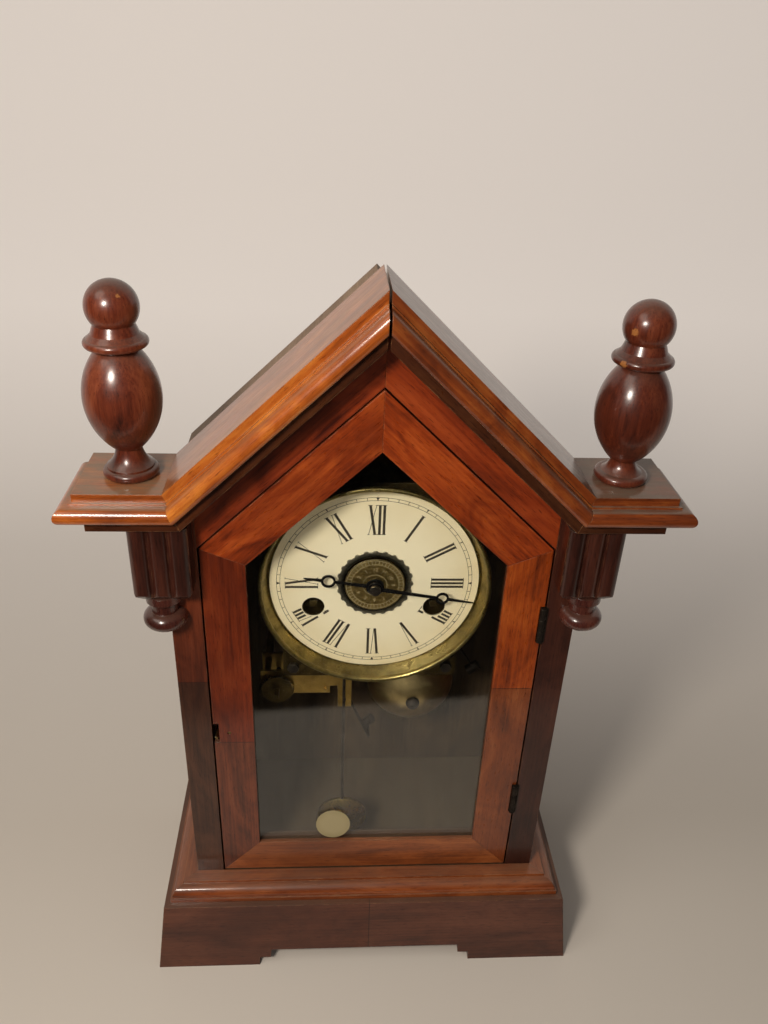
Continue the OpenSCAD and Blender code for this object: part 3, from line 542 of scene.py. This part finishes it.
@dataclass(frozen=True)
class WindowGlass:
    """Old cylinder-blown window glass: clear with a faint green tint and a slow ripple."""

    name: str = "old_window_glass"
    tint: str = "fdfffc"

    def build(self) -> Material:
        """Makes the material.

        Returns:
            The material.
        """
        material, tree, shader = blank(self.name)
        wave = noise(tree, STILL, 30 * MM, 90 * MM, 1.0)
        bump = add(tree, "ShaderNodeBump", {"Strength": 0.12, "Distance": 0.4 * MM, "Height": wave})
        tree.links.new(bump.outputs[0], shader.inputs["Normal"])
        shader.inputs["Base Color"].default_value = linear(self.tint)
        shader.inputs["Roughness"].default_value = 0.03
        shader.inputs["IOR"].default_value = 1.5
        shader.inputs["Transmission Weight"].default_value = 1.0
        # Light from the lamps passes straight through, so that the dial isn't in the pane's shadow.
        clear = add(tree, "ShaderNodeBsdfTransparent", {"Color": linear("feffff")})
        path = add(tree, "ShaderNodeLightPath")
        passing = maths(tree, "MAXIMUM", path.outputs["Is Shadow Ray"], path.outputs["Is Diffuse Ray"])
        join = add(tree, "ShaderNodeMixShader", {0: passing, 1: shader.outputs[0], 2: clear.outputs[0]})
        output = next(n for n in tree.nodes if n.bl_idname == "ShaderNodeOutputMaterial")
        tree.links.new(join.outputs[0], output.inputs[0])
        return material


class Finish(Enum):
    """The clock's finishes, by part; a few colours also carry painted shade and one a painted highlight, as
    marked.
    """

    CORNICE = Mahogany(
        "shellacked_cornice_mahogany", "6a2f12", "a6531a", "cd7c2f", figure=20 * MM, wear=0.75,
        dust=0.85, dusty="7e6149", gloss=0.8, roughness=0.3,
    )
    # The right cornice's darker colours: partly darker wood and partly painted shade, for the side away from
    # the lamp.
    CORNICE_RIGHT = Mahogany(
        "darkened_cornice_mahogany", "431c0d", "7a3713", "a05a24", figure=20 * MM, wear=0.6, dust=0.85,
        dusty="6d5a4b", gloss=0.7, roughness=0.34,
    )
    # The door's strong edge wear is partly rubbing and partly a painted highlight along its arrises.
    DOOR = Mahogany(
        "crotch_mahogany_veneer", "4e1b0b", "8c350f", "ae4e1b", figure=17 * MM, contrast=1.15, gloss=0.7,
        roughness=0.32, wear=0.7, worn="a06f50",
    )
    GABLE = Mahogany("gable_mahogany_veneer", "3f140a", "84300f", "a0441a", figure=22 * MM, dust=0.35)
    RAIL = Mahogany("door_rail_mahogany_veneer", "4c2310", "86441c", "a05a2c", figure=24 * MM, gloss=0.55)
    STILE_RIGHT = Mahogany(
        "right_stile_mahogany_veneer", "4e1d0b", "8e3a0e", "b0551b", figure=19 * MM, roughness=0.32,
    )
    STILE_LEFT = Mahogany(
        "left_stile_mahogany_veneer", "421509", "70280c", "8b3c18", figure=24 * MM, gloss=0.55,
    )
    SIDE_LEFT = Mahogany(
        "left_case_mahogany_veneer", "36150c", "6e3018", "84432a", gloss=0.4, roughness=0.4, wear=0.45,
    )
    # The right side and stile take much darker colours than the left: painted shade of the side away from the
    # lamp.
    SIDE_RIGHT = Mahogany(
        "right_case_mahogany_veneer", "1e0c08", "3a1a11", "4d271a", gloss=0.35, roughness=0.42,
        wear=0.45,
    )
    BASE = Mahogany("base_moulding_mahogany", "42190b", "823c14", "a25a2c", wear=0.7)
    PLINTH = Mahogany(
        "plinth_mahogany_veneer", "2f140d", "582c1b", "6e3e2a", figure=34 * MM, gloss=0.3,
        roughness=0.45, wear=0.5, dust=0.25, contrast=0.8,
    )
    TURNED = Mahogany(
        "turned_and_stained_birch", "30120b", "5e2716", "7e3f26", figure=24 * MM, streak=1.1 * MM,
        gloss=0.75, roughness=0.34, wear=0.12, dust=0.6, dusty="5b463c", rings=0.8, coat_roughness=0.2,
    )
    # The brackets' dark colours: stained birch, darkened as painted shade of the cornice above them.
    REEDED = Mahogany(
        "reeded_and_stained_birch", "22100b", "3a1a12", "4e271a", streak=1.1 * MM, gloss=0.5,
        dusty="5a463c",
    )
    DROP = Mahogany(
        "stained_birch_drops", "27120c", "45201a", "5c3024", streak=1.1 * MM, gloss=0.9, roughness=0.28,
        wear=0.12, dust=0.28, dusty="5f473b", rings=0.5, coat_roughness=0.18,
    )
    ROOF = Mahogany(
        "dusty_roof_pine", "6a5442", "8b715b", "a3896f", gloss=0.1, roughness=0.7, worn="9a8570",
        dust=0.7, dusty="957d68",
    )
    INSIDE = Mahogany(
        "unfinished_pine", "2b2118", "4a3a28", "5e4b35", gloss=0.0, roughness=0.8, wear=0.0, dust=0.5,
        dusty="5a5040",
    )
    DIAL_BRASS = Metal(
        "antique_pan_brass", "a8965f", "453c27", 0.25, patch=11 * MM, amount=0.75, scratch=0.1,
    )
    DISC_BRASS = Metal("alarm_disc_brass", "ab925a", "54482c", 0.36, patch=6 * MM, amount=0.7)
    MOVEMENT_BRASS = Metal("rolled_movement_brass", "c0a05a", "6a5430", 0.34, patch=14 * MM, amount=0.55)
    # A very dark brass for the plates and winding arbors, far darker than the wheels.
    PLATE_BRASS = Metal(
        "very_dark_plate_brass", "6e5c38", "2c2417", 0.42, patch=14 * MM, amount=0.85, rub=0.2,
    )
    BOB_BRASS = Metal(
        "polished_bob_brass", "efd588", "b99d58", 0.24, patch=16 * MM, amount=0.3, scratch=0.12,
    )
    BELL_METAL = Metal("cast_bell_metal", "dcc48c", "8c7650", 0.32, patch=16 * MM, amount=0.55)
    STEEL = Metal("worn_movement_steel", "57504a", "241e1a", 0.4, patch=8 * MM, amount=0.7, rub=0.3)
    EYELET = Metal(
        "tarnished_eyelet_zinc", "a39c88", "4a4539", 0.34, patch=3 * MM, amount=0.65, metallic=0.9,
        rub=0.9, rubbed="c9c3b2",
    )
    IRON = Metal(
        "black_hinge_iron", "3a332c", "19130f", 0.52, patch=5 * MM, amount=0.8, metallic=0.85,
        scratch=0.5, rub=0.2, rubbed="7a7068",
    )
    HAND = Metal(
        "blued_hand_steel", "1c1b1d", "0f0d0c", 0.3, patch=7 * MM, amount=0.6, metallic=0.7, rub=0.15,
        rubbed="6a6458",
    )
    CATCH = Metal("catch_brass", "a58e5c", "5b4a2b", 0.34, patch=4 * MM)
    PUTTY = Mahogany(
        "glazing_strip_pine", "1c120b", "33231a", "44301f", figure=26 * MM, gloss=0.1, roughness=0.6,
        wear=0.1, dust=0.2,
    )


# ------------------------ mesh helpers


@dataclass
class Sheet:
    """Flat shapes of one print or fitting, gathered as thin prisms that face the viewer."""

    name: str
    front: float
    back: float
    mesh: bmesh.types.BMesh = field(default_factory=bmesh.new)

    def prism(self, outline: Iterable[Pair]) -> None:
        """Adds one closed prism.

        Args:
            outline: corners in X and Z, in order.
        """
        corners = list(outline)
        near = [self.mesh.verts.new((x, self.front, z)) for x, z in corners]
        far = [self.mesh.verts.new((x, self.back, z)) for x, z in corners]
        self.mesh.faces.new(near)
        self.mesh.faces.new(far[::-1])
        for i in range(len(corners)):
            j = (i + 1) % len(corners)
            self.mesh.faces.new((near[j], near[i], far[i], far[j]))

    def ring(self, centre: Pair, inner: float, outer: float, steps: int = 180) -> None:
        """Adds a flat ring as a closed band.

        Args:
            centre: middle in X and Z.
            inner: inner radius.
            outer: outer radius.
            steps: corners round the ring.
        """
        rows = []
        for i in range(steps):
            a = 2 * math.pi * i / steps
            c, s = math.cos(a), math.sin(a)
            spots = [(outer, self.front), (outer, self.back), (inner, self.back), (inner, self.front)]
            rows.append([self.mesh.verts.new((centre[0] + r * c, y, centre[1] + r * s)) for r, y in spots])
        for i in range(steps):
            a, b = rows[i], rows[(i + 1) % steps]
            for k in range(4):
                m = (k + 1) % 4
                self.mesh.faces.new((a[k], a[m], b[m], b[k]))

    def finish(self, material: Material, body: str, slot: str) -> None:
        """Turns what was gathered into an object that rides on a body.

        Args:
            material: its material.
            body: the body that carries it.
            slot: not used.
        """
        bmesh.ops.recalc_face_normals(self.mesh, faces=self.mesh.faces)
        data = bpy.data.meshes.new(self.name)
        self.mesh.to_mesh(data)
        self.mesh.free()
        place(bpy.data.objects.new(self.name, data), material, body, slot)


def place(obj: bpy.types.Object, material: Material, body: str, slot: str) -> None:
    """Links a new object, gives it a material and lets it ride on a body.

    Args:
        obj: the object.
        material: its material.
        body: the body that carries it.
        slot: not used.
    """
    bpy.context.scene.collection.objects.link(obj)
    obj.data.materials.append(material)
    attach(obj, body)
    LOG.info("piece %s on body %s", obj.name, body)


def dress(material: Material, *nodes: str) -> None:
    """Gives a material to nodes of the frame.

    Args:
        material: the material.
        nodes: names of the nodes.
    """
    for name in nodes:
        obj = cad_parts[name]
        if not obj.material_slots:
            obj.data.materials.append(material)
        for slot in obj.material_slots:
            slot.material = material
        LOG.info("node %s in %s", name, material.name)


# ------------------------ the wooden case


@dataclass
class Woodwork:
    """Case, cornice, door frame, plinth and turnings, each with its own way of the grain."""

    stile_joint: float = 211 * MM
    patch_joint: float = 172 * MM
    case_joint: float = 217 * MM
    plinth_seam: float = 2 * MM
    # Where the bed strips under the noses begin: below these, measured upwards on the blocks and square to
    # the slope on the rakes, the colours are painted shade.
    block_bed: float = 327.5 * MM
    rake_bed: float = 304.1 * MM
    ball_radius: float = 12 * MM

    def dress(self) -> None:
        """Dresses every wooden node."""
        door, gable = Finish.DOOR.value, Finish.GABLE.value
        run, rise = math.sin(math.radians(PITCH)), math.cos(math.radians(PITCH))
        # The bed strips below the noses get these dark colours: painted shade of the nose's shadow.
        bed = ("29120b", "41200f", "553019")
        for side, sign, rake, cornice in (
            ("left", -1, Grain.RAKE_LEFT, Finish.CORNICE.value),
            ("right", 1, Grain.RAKE_RIGHT, Finish.CORNICE_RIGHT.value),
        ):
            sloped = Joint("sloped_bed", (sign * run, 0.0, rise), self.rake_bed, bed)
            dress(cornice.build(rake, sloped), f"rake_moulding_{side}")
            # On a block the dust stays on the level top and not on the rounded nose.
            block = replace(cornice, settle=0.85)
            level = Joint("level_bed", UP, self.block_bed, bed)
            dress(block.build(Grain.ACROSS, level), f"cornice_block_{side}")
            dress(door.build(rake), f"door_gable_{side}")
            dress(gable.build(rake), f"gable_{side}")
        self.dress_finial("finial_left", [((5.2, -8.4, 6.8), 1.5)])
        self.dress_finial("finial_right", [((-9.1, -7.7, -0.8), 2.4), ((-11.9, -8.3, -15.8), 2.3)])
        aged = Joint("two_lengths", UP, self.stile_joint, ("4a200c", "7a3a16", "8f4e26"))
        patched = Joint("two_lengths", UP, self.patch_joint, ("3c180c", "6a3018", "7c442a"))
        lower = Joint("two_lengths", UP, self.case_joint, ("24140e", "4a2a1a", "5a3524"))
        halves = Joint("two_leaves", (-1.0, 0.0, 0.0), -self.plinth_seam, ("301610", "5a3020", "6f412e"))
        upright, across, depth = Grain.UPRIGHT, Grain.ACROSS, Grain.DEPTH
        for finish, grain, joint, *nodes in (
            (Finish.STILE_RIGHT, upright, aged, "door_stile_right"),
            (Finish.STILE_LEFT, upright, patched, "door_stile_left"),
            (Finish.RAIL, across, None, "door_rail"),
            (Finish.SIDE_LEFT, upright, None, "case_side_left"),
            (Finish.SIDE_LEFT, upright, lower, "stile_left"),
            (Finish.SIDE_RIGHT, upright, None, "case_side_right", "stile_right"),
            (Finish.BASE, across, None, "base_moulding_front"),
            (Finish.BASE, depth, None, "base_moulding_sides"),
            (Finish.PLINTH, across, halves, "plinth_front"),
            (Finish.PLINTH, depth, None, "plinth_sides"),
            (Finish.DROP, upright, None, "pendant_left", "pendant_right"),
            (Finish.REEDED, upright, None, "bracket_left", "bracket_right"),
            (Finish.INSIDE, upright, None, "back_board"),
            (Finish.INSIDE, depth, None, "case_floor"),
            (Finish.ROOF, depth, None, "roof_board_left", "roof_board_right"),
            (Finish.PUTTY, upright, None, "glazing_beads"),
        ):
            dress(finish.value.build(grain, joint), *nodes)
        dress(WindowGlass().build(), "door_glass")

    def dress_finial(self, node: str, marks: Sequence[tuple[Triple, float]]) -> None:
        """Dresses one finial with its own knocks.

        Args:
            node: the finial's node.
            marks: place from the middle of the ball and radius of each knock, in millimetres.
        """
        low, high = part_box(node)
        ball = Vector(((low.x + high.x) / 2, (low.y + high.y) / 2, high.z - self.ball_radius))
        knocks = [(ball + Vector(place) * MM, reach * MM) for place, reach in marks]
        dress(Finish.TURNED.value.build(Grain.UPRIGHT, knocks=knocks), node)


# ------------------------ the dial


@dataclass
class Numeral:
    """Roman numerals of an old printed dial: thick and hair strokes with flat serifs.

    Sizes are in metres, and a numeral stands on its foot at height 0.
    """

    tall: float
    thick: float = 1.4 * MM
    hair: float = 0.3 * MM
    wide_v: float = 4.4 * MM
    wide_x: float = 4.2 * MM
    gap: float = 0.95 * MM
    serif: float = 0.5 * MM

    def bar(self, x0: float, x1: float, half: float) -> Outlines:
        """Gives a straight stroke from top x0 to foot x1 with a serif at each end.

        Args:
            x0: middle of the stroke at the top.
            x1: middle of the stroke at the foot.
            half: half of the stroke's width.

        Returns:
            Outlines of the stroke and its serifs.
        """
        h, t = self.tall, self.hair
        reach = half + self.serif
        return [
            [(x0 - half, h), (x0 + half, h), (x1 + half, 0), (x1 - half, 0)],
            [(x0 - reach, h), (x0 + reach, h), (x0 + reach, h - t), (x0 - reach, h - t)],
            [(x1 - reach, t), (x1 + reach, t), (x1 + reach, 0), (x1 - reach, 0)],
        ]

    def sign(self, letter: str) -> tuple[Outlines, float]:
        """Gives a letter's outlines from x = 0 and its width.

        Args:
            letter: I, V or X.

        Returns:
            The outlines and the width.
        """
        half, thin = self.thick / 2, self.hair / 2
        if letter == "I":
            return self.bar(half, half, half), self.thick
        if letter == "V":
            w = self.wide_v
            foot = w * 0.56
            strokes = self.bar(half, foot - thin, half)[:2] + self.bar(w - thin, foot + half * 0.6, thin)[:2]
            return strokes, w
        w = self.wide_x
        return self.bar(half, w - half, half) + self.bar(w - thin, thin, thin), w

    def outlines(self, text: str) -> Outlines:
        """Gives a whole numeral, centred on x = 0.

        Args:
            text: the numeral.

        Returns:
            Its outlines.
        """
        shapes: Outlines = []
        x = 0.0
        for letter in text:
            strokes, width = self.sign(letter)
            shapes += [[(px + x, pz) for px, pz in s] for s in strokes]
            x += width + self.gap
        middle = (x - self.gap) / 2
        return [[(px - middle, pz) for px, pz in s] for s in shapes]


HOURS = ("XII", "I", "II", "III", "IIII", "V", "VI", "VII", "VIII", "IX", "X", "XI")


@dataclass
class Dial:
    """Dial paper with its print, brass pan, alarm disc and hands. Shares are of a radius."""

    numeral_foot: float = 0.540
    numeral_top: float = 0.855
    track_inner: float = 0.902
    track_outer: float = 0.934
    line: float = 0.24 * MM
    hole_across: float = 33.5 * MM
    hole_drop: float = 15.8 * MM
    hole_radius: float = 6.5 * MM
    tick: float = 0.14 * MM
    wedge: float = 0.45 * MM
    quarter_wedge: float = 0.9 * MM
    wedge_tip: float = 0.12 * MM
    disc_rings: Triple = (0.95, 0.80, 0.40)
    disc_line: float = 0.11 * MM
    disc_tick: float = 0.12 * MM
    figure_ring: float = 0.60
    figure_size: float = 2.9 * MM
    figure_thick: float = 0.02 * MM
    # Shares of the eyelet's radius: painted shade is full inside the first and ends at the second.
    painted_shade: Pair = (0.86, 0.97)

    def __post_init__(self) -> None:
        """Reads the dial's place from the frame."""
        low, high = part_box("dial_paper")
        self.centre = (low + high) / 2
        self.radius = (high.x - low.x) / 2
        self.face = low.y

    def spot(self, radius: float, degrees: float) -> Pair:
        """Gives a point at a radius and a clockwise angle from twelve, as X and Z."""
        a = math.radians(degrees)
        return self.centre.x + radius * math.sin(a), self.centre.z + radius * math.cos(a)

    def turned(self, shape: Sequence[Pair], foot: float, degrees: float) -> list[Pair]:
        """Stands a shape on a radius, with its foot towards the centre.

        Args:
            shape: outline with height along its second value.
            foot: radius of height 0.
            degrees: clockwise angle from twelve.

        Returns:
            The outline on the dial.
        """
        a = math.radians(degrees)
        c, s = math.cos(a), math.sin(a)
        points = [(x, z + foot) for x, z in shape]
        return [(self.centre.x + x * c + z * s, self.centre.z - x * s + z * c) for x, z in points]

    def clear(self, shape: Sequence[Pair], steps: int = 40) -> Outlines:
        """Cuts a stroke where it meets a winding hole.

        Args:
            shape: the stroke's four corners on the dial, two at its top and two at its foot.
            steps: places at which the stroke is tried.

        Returns:
            The lengths of the stroke that are on paper.
        """
        a, b, c, d = (Vector(corner) for corner in shape)
        row = self.centre.z - self.hole_drop
        holes = [Vector((self.centre.x + side * self.hole_across, row)) for side in (-1, 1)]
        parts, run = [], []
        for i in range(steps + 1):
            left, right = a.lerp(d, i / steps), b.lerp(c, i / steps)
            near = min((spot - hole).length for hole in holes for spot in (left, (left + right) / 2, right))
            if near > self.hole_radius:
                run.append((left, right))
            if run and (near <= self.hole_radius or i == steps):
                if len(run) > 1:
                    parts.append([tuple(v) for v in (*run[0], run[-1][1], run[-1][0])])
                run = []
        return parts

    def print_hours(self, ink: Material) -> None:
        """Prints the twelve numerals.

        Args:
            ink: the ink's material.
        """
        foot = self.numeral_foot * self.radius
        glyph = Numeral(tall=(self.numeral_top - self.numeral_foot) * self.radius)
        sheet = Sheet("dial_numerals", self.face - PRINT_FRONT, self.face - PRINT_BACK)
        for hour, text in enumerate(HOURS):
            for outline in glyph.outlines(text):
                for part in self.clear(self.turned(outline, foot, 30 * hour)):
                    sheet.prism(part)
        sheet.finish(ink, "case", "dial_paper")

    def print_minutes(self, ink: Material) -> None:
        """Prints the minute track: two rings, sixty ticks and a wedge at each five.

        Args:
            ink: the ink's material.
        """
        inner, outer = self.track_inner * self.radius, self.track_outer * self.radius
        sheet = Sheet("dial_minute_track", self.face - PRINT_FRONT, self.face - PRINT_BACK)
        middle = (self.centre.x, self.centre.z)
        for r in (inner, outer):
            sheet.ring(middle, r - self.line / 2, r + self.line / 2)
        for minute in range(60):
            w = self.tick
            tick = [(-w, 0), (w, 0), (w, outer - inner), (-w, outer - inner)]
            sheet.prism(self.turned(tick, inner, 6 * minute))
            if minute % 5 == 0:
                half, tip = self.quarter_wedge if minute % 15 == 0 else self.wedge, self.wedge_tip
                wedge = [(-half, outer - inner), (half, outer - inner), (tip, 0), (-tip, 0)]
                sheet.prism(self.turned(wedge, inner, 6 * minute))
        sheet.finish(ink, "case", "dial_paper")

    def print_alarm(self, ink: Material) -> None:
        """Engraves the alarm disc with its hour figures, a track and quarter ticks.

        Args:
            ink: the material of the engraving.
        """
        low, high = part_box("alarm_disc")
        radius = (high.x - low.x) / 2
        face = low.y
        sheet = Sheet("alarm_disc_engraving", face - PRINT_FRONT, face - PRINT_BACK)
        middle = (self.centre.x, self.centre.z)
        for share in self.disc_rings:
            sheet.ring(middle, share * radius - self.disc_line, share * radius + self.disc_line, 96)
        outer, track = self.disc_rings[:2]
        w, tall = self.disc_tick, (outer - track) * radius
        # Four ticks to the hour.
        for tick in range(48):
            sheet.prism(self.turned([(-w, 0), (w, 0), (w, tall), (-w, tall)], track * radius, 7.5 * tick))
        sheet.finish(ink, "alarm_setting", "dial_brass")
        figures = self.figures(self.figure_ring * radius, self.figure_size, face)
        place(figures, ink, "alarm_setting", "dial_brass")

    def figures(self, radius: float, size: float, face: float) -> bpy.types.Object:
        """Makes the figures 1 to 12 in a ring, running anticlockwise as on a setting disc.

        Args:
            radius: radius of the figures' middle.
            size: height of the figures.
            face: Y of the surface they stand on.

        Returns:
            One mesh object with every figure.
        """
        whole = bmesh.new()
        for hour in range(1, 13):
            curve = bpy.data.curves.new("figure", "FONT")
            curve.body = str(hour)
            curve.size = size
            curve.align_x = "CENTER"
            curve.align_y = "CENTER"
            curve.extrude = self.figure_thick
            letter = bpy.data.objects.new("figure", curve)
            bpy.context.scene.collection.objects.link(letter)
            bpy.context.view_layer.update()
            data = bpy.data.meshes.new_from_object(letter)
            x, z = self.spot(radius, -30 * hour)
            lean = Matrix.Rotation(math.radians(-30 * hour), 4, "Y")
            spot = Matrix.Translation((x, face - self.figure_thick - PRINT_BACK, z))
            data.transform(spot @ lean @ Matrix.Rotation(math.radians(90), 4, "X"))
            whole.from_mesh(data)
            bpy.data.objects.remove(letter)
            bpy.data.curves.remove(curve)
            bpy.data.meshes.remove(data)
        mesh = bpy.data.meshes.new("alarm_disc_figures")
        whole.to_mesh(mesh)
        whole.free()
        return bpy.data.objects.new("alarm_disc_figures", mesh)

    def build(self) -> None:
        """Dresses the dial and adds its print."""
        dress(DialPaper().build(self.centre, self.radius), "dial_paper")
        dress(Finish.DIAL_BRASS.value.build(), "dial_pan", "dial_bezel")
        dress(Finish.DISC_BRASS.value.build(), "alarm_disc")
        ring_low, ring_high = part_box("dial_eyelet")
        ring = (ring_high.x - ring_low.x) / 2
        hub = Vector((self.centre.x, ring_low.y, self.centre.z))
        # The eyelet's inner ring is darkened: painted shade of the shadowed tube wall inside it.
        inner, outer = self.painted_shade
        dress(Finish.EYELET.value.build(hub, inner * ring, outer * ring), "dial_eyelet")
        dress(Finish.HAND.value.build(), "hour_hand", "minute_hand")
        black = Ink("dial_printing_ink", "241f18", "574c3d").build()
        self.print_hours(black)
        self.print_minutes(black)
        self.print_alarm(Ink("alarm_disc_wax", "c9b684", "8f7d50").build())


# ------------------------ movement and fittings


@dataclass
class Movement:
    """Plates, wheels, arbors, hammers, bell and pendulum."""

    def dress(self) -> None:
        """Dresses the metal nodes."""
        arbors = ("winding_arbor_time", "winding_arbor_strike", "alarm_arbor")
        for finish, *nodes in (
            (Finish.MOVEMENT_BRASS, "hour_wheel", "minute_wheel", "escape_wheel", "alarm_plates"),
            (Finish.PLATE_BRASS, "front_plate", "back_plate", *arbors),
            (Finish.BOB_BRASS, "pendulum_bob"),
            (Finish.STEEL, "centre_arbor", "pillars", "mainsprings", "verge", "pendulum_rod"),
            (Finish.BELL_METAL, "bell"),
            (Finish.IRON, "bell_post", "strike_hammer", "alarm_hammer"),
        ):
            dress(finish.value.build(), *nodes)


@dataclass
class DoorFittings:
    """Hinges, the turning catch and the bare, nearly round paper label on the glass."""

    label_x: float = -21.4 * MM
    label_z: float = 98.9 * MM
    label_wide: float = 10.6 * MM
    label_tall: float = 12.2 * MM
    label_thick: float = 0.15 * MM
    corners: int = 64

    def dress(self) -> None:
        """Dresses the metal fittings."""
        dress(Finish.IRON.value.build(), "hinge_door_leaves", "hinge_case_leaves")
        dress(Finish.CATCH.value.build(), "door_catch")

    def label(self) -> None:
        """Sticks the bare label on the front of the pane."""
        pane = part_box("door_glass")[0].y
        sheet = Sheet("glass_paper_label", pane - self.label_thick, pane - PRINT_BACK)
        turns = [2 * math.pi * i / self.corners for i in range(self.corners)]
        oval = [(self.label_wide * math.cos(a), self.label_tall * math.sin(a)) for a in turns]
        sheet.prism((self.label_x + x, self.label_z + z) for x, z in oval)
        paper = DialPaper(name="bare_label_paper", cream="a89a74", aged="8f8159", spot="6f643d")
        middle = Vector((self.label_x, pane, self.label_z))
        sheet.finish(paper.build(middle, self.label_tall), "door", "dial_paper")


# ------------------------ studio and camera


@dataclass
class Studio:
    """A pale floor that curves up behind the clock, one near soft lamp, a weak fill and an even sky."""

    floor: str = "d3cabf"
    key_spot: Triple = (-0.256, -0.473, 0.642)
    key_size: float = 0.13
    key_power: float = 3.1
    fill_spot: Triple = (-0.9, -0.5, 1.5)
    fill_size: float = 0.9
    fill_power: float = 4.0
    sky: float = 0.30
    sky_in_gloss: float = 0.03
    cloth_edge: float = -0.25
    cloth_slant: float = 0.089
    cloth_hem: float = 0.004
    wall: float = 0.45
    bend: float = 0.35
    near: float = -3.0
    top: float = 3.0
    half_width: float = 4.0
    aim: Triple = (0.0, 0.0, 0.25)
    glow: float = 0.55
    glow_from: float = 0.05
    glow_full: float = 0.95

    def surface(self) -> Material:
        """Makes the floor's material; polished faces see it only as far as the table's edge.

        Returns:
            The material.
        """
        material, tree, shader = blank("plain_floor")
        place = here(tree)
        where = measure(tree, "DOT_PRODUCT", place, (self.cloth_slant, 1.0, 0.0))
        beyond = band(tree, where, self.cloth_edge + self.cloth_hem, self.cloth_edge - self.cloth_hem)
        path = add(tree, "ShaderNodeLightPath")
        hidden = maths(tree, "MULTIPLY", beyond, path.outputs["Is Glossy Ray"])
        colour = mixed(tree, hidden, linear(self.floor), linear("151310"))
        tree.links.new(colour, shader.inputs["Base Color"])
        shader.inputs["Roughness"].default_value = 0.95
        shader.inputs["Specular IOR Level"].default_value = 0.1
        # The backdrop is paler to the eye, in polish and through glass, and more so the further back it lies.
        back = measure(tree, "DOT_PRODUCT", place, (0.0, 1.0, 1.0))
        pale = band(tree, back, self.glow_from, self.glow_full, 0.0, self.glow)
        seen = maths(tree, "MAXIMUM", path.outputs["Is Camera Ray"], path.outputs["Is Glossy Ray"])
        seen = maths(tree, "MAXIMUM", seen, path.outputs["Is Transmission Ray"])
        tree.links.new(maths(tree, "MULTIPLY", pale, seen), shader.inputs["Emission Strength"])
        shader.inputs["Emission Color"].default_value = linear("d8cfc9")
        return material

    def lamp(self, name: str, spot: Triple, size: float, power: float) -> None:
        """Adds one round lamp that points at the clock.

        Args:
            name: the lamp's name.
            spot: its place.
            size: its diameter.
            power: its power in watts.
        """
        light = bpy.data.lights.new(name, "AREA")
        light.shape = "DISK"
        light.size = size
        light.energy = power
        light.color = linear("fff6ea")[:3]
        obj = bpy.data.objects.new(name, light)
        obj.location = spot
        obj.rotation_euler = (Vector(self.aim) - Vector(spot)).to_track_quat("-Z", "Y").to_euler()
        bpy.context.scene.collection.objects.link(obj)

    def build(self) -> None:
        """Makes the floor, the lamps and the sky."""
        mesh = bmesh.new()
        # The floor bends up into the wall by a quarter turn in ten steps.
        turns = [math.radians(9 * i) for i in range(1, 11)]
        curve = [(self.wall + self.bend * math.sin(a), self.bend - self.bend * math.cos(a)) for a in turns]
        profile = [(self.near, 0.0), (self.wall, 0.0), *curve, (self.wall + self.bend, self.top)]
        edges = (-self.half_width, self.half_width)
        rows = [[mesh.verts.new((x, y, z)) for y, z in profile] for x in edges]
        for i in range(len(profile) - 1):
            mesh.faces.new((rows[0][i], rows[1][i], rows[1][i + 1], rows[0][i + 1]))
        data = bpy.data.meshes.new("floor")
        mesh.to_mesh(data)
        mesh.free()
        for face in data.polygons:
            face.use_smooth = True
        floor = bpy.data.objects.new("floor", data)
        bpy.context.scene.collection.objects.link(floor)
        data.materials.append(self.surface())
        self.lamp("key_lamp", self.key_spot, self.key_size, self.key_power)
        self.lamp("fill_lamp", self.fill_spot, self.fill_size, self.fill_power)
        world = bpy.data.worlds.new("sky")
        world.use_nodes = True
        bpy.context.scene.world = world
        tree = world.node_tree
        back = tree.nodes["Background"]
        back.inputs[0].default_value = linear("ecebea")
        glossy = add(tree, "ShaderNodeLightPath").outputs["Is Glossy Ray"]
        tree.links.new(band(tree, glossy, 0.0, 1.0, self.sky, self.sky_in_gloss), back.inputs[1])


@dataclass
class Camera:
    """The photograph's own view: above the clock's left front, looking down."""

    place: Triple = (-0.0251, -0.3999, 0.5314)
    yaw: float = 4.278
    pitch: float = -29.719
    roll: float = 2.482
    lens: float = 29.74
    sensor: float = 36.0
    nearest: float = 0.01

    def build(self) -> None:
        """Makes the camera."""
        y, p, r = (math.radians(v) for v in (self.yaw, self.pitch, self.roll))
        ahead = Vector((math.sin(y) * math.cos(p), math.cos(y) * math.cos(p), math.sin(p)))
        side = Vector((math.cos(y), -math.sin(y), 0))
        up = side.cross(ahead)
        right = math.cos(r) * side + math.sin(r) * up
        top = -math.sin(r) * side + math.cos(r) * up
        data = bpy.data.cameras.new("camera")
        data.lens = self.lens
        data.sensor_width = self.sensor
        data.clip_start = self.nearest
        camera = bpy.data.objects.new("camera", data)
        turn = Matrix((right, top, -ahead)).transposed().to_4x4()
        camera.matrix_world = Matrix.Translation(self.place) @ turn
        bpy.context.scene.collection.objects.link(camera)
        bpy.context.scene.camera = camera


def main() -> None:
    """Builds the clock's looks in order."""
    logging.basicConfig(level=logging.INFO, format="%(message)s")
    Camera().build()
    Studio().build()
    Woodwork().dress()
    Dial().build()
    Movement().dress()
    fittings = DoorFittings()
    fittings.dress()
    fittings.label()
    bpy.context.scene.view_settings.view_transform = "Standard"


if __name__ == "__main__":
    main()
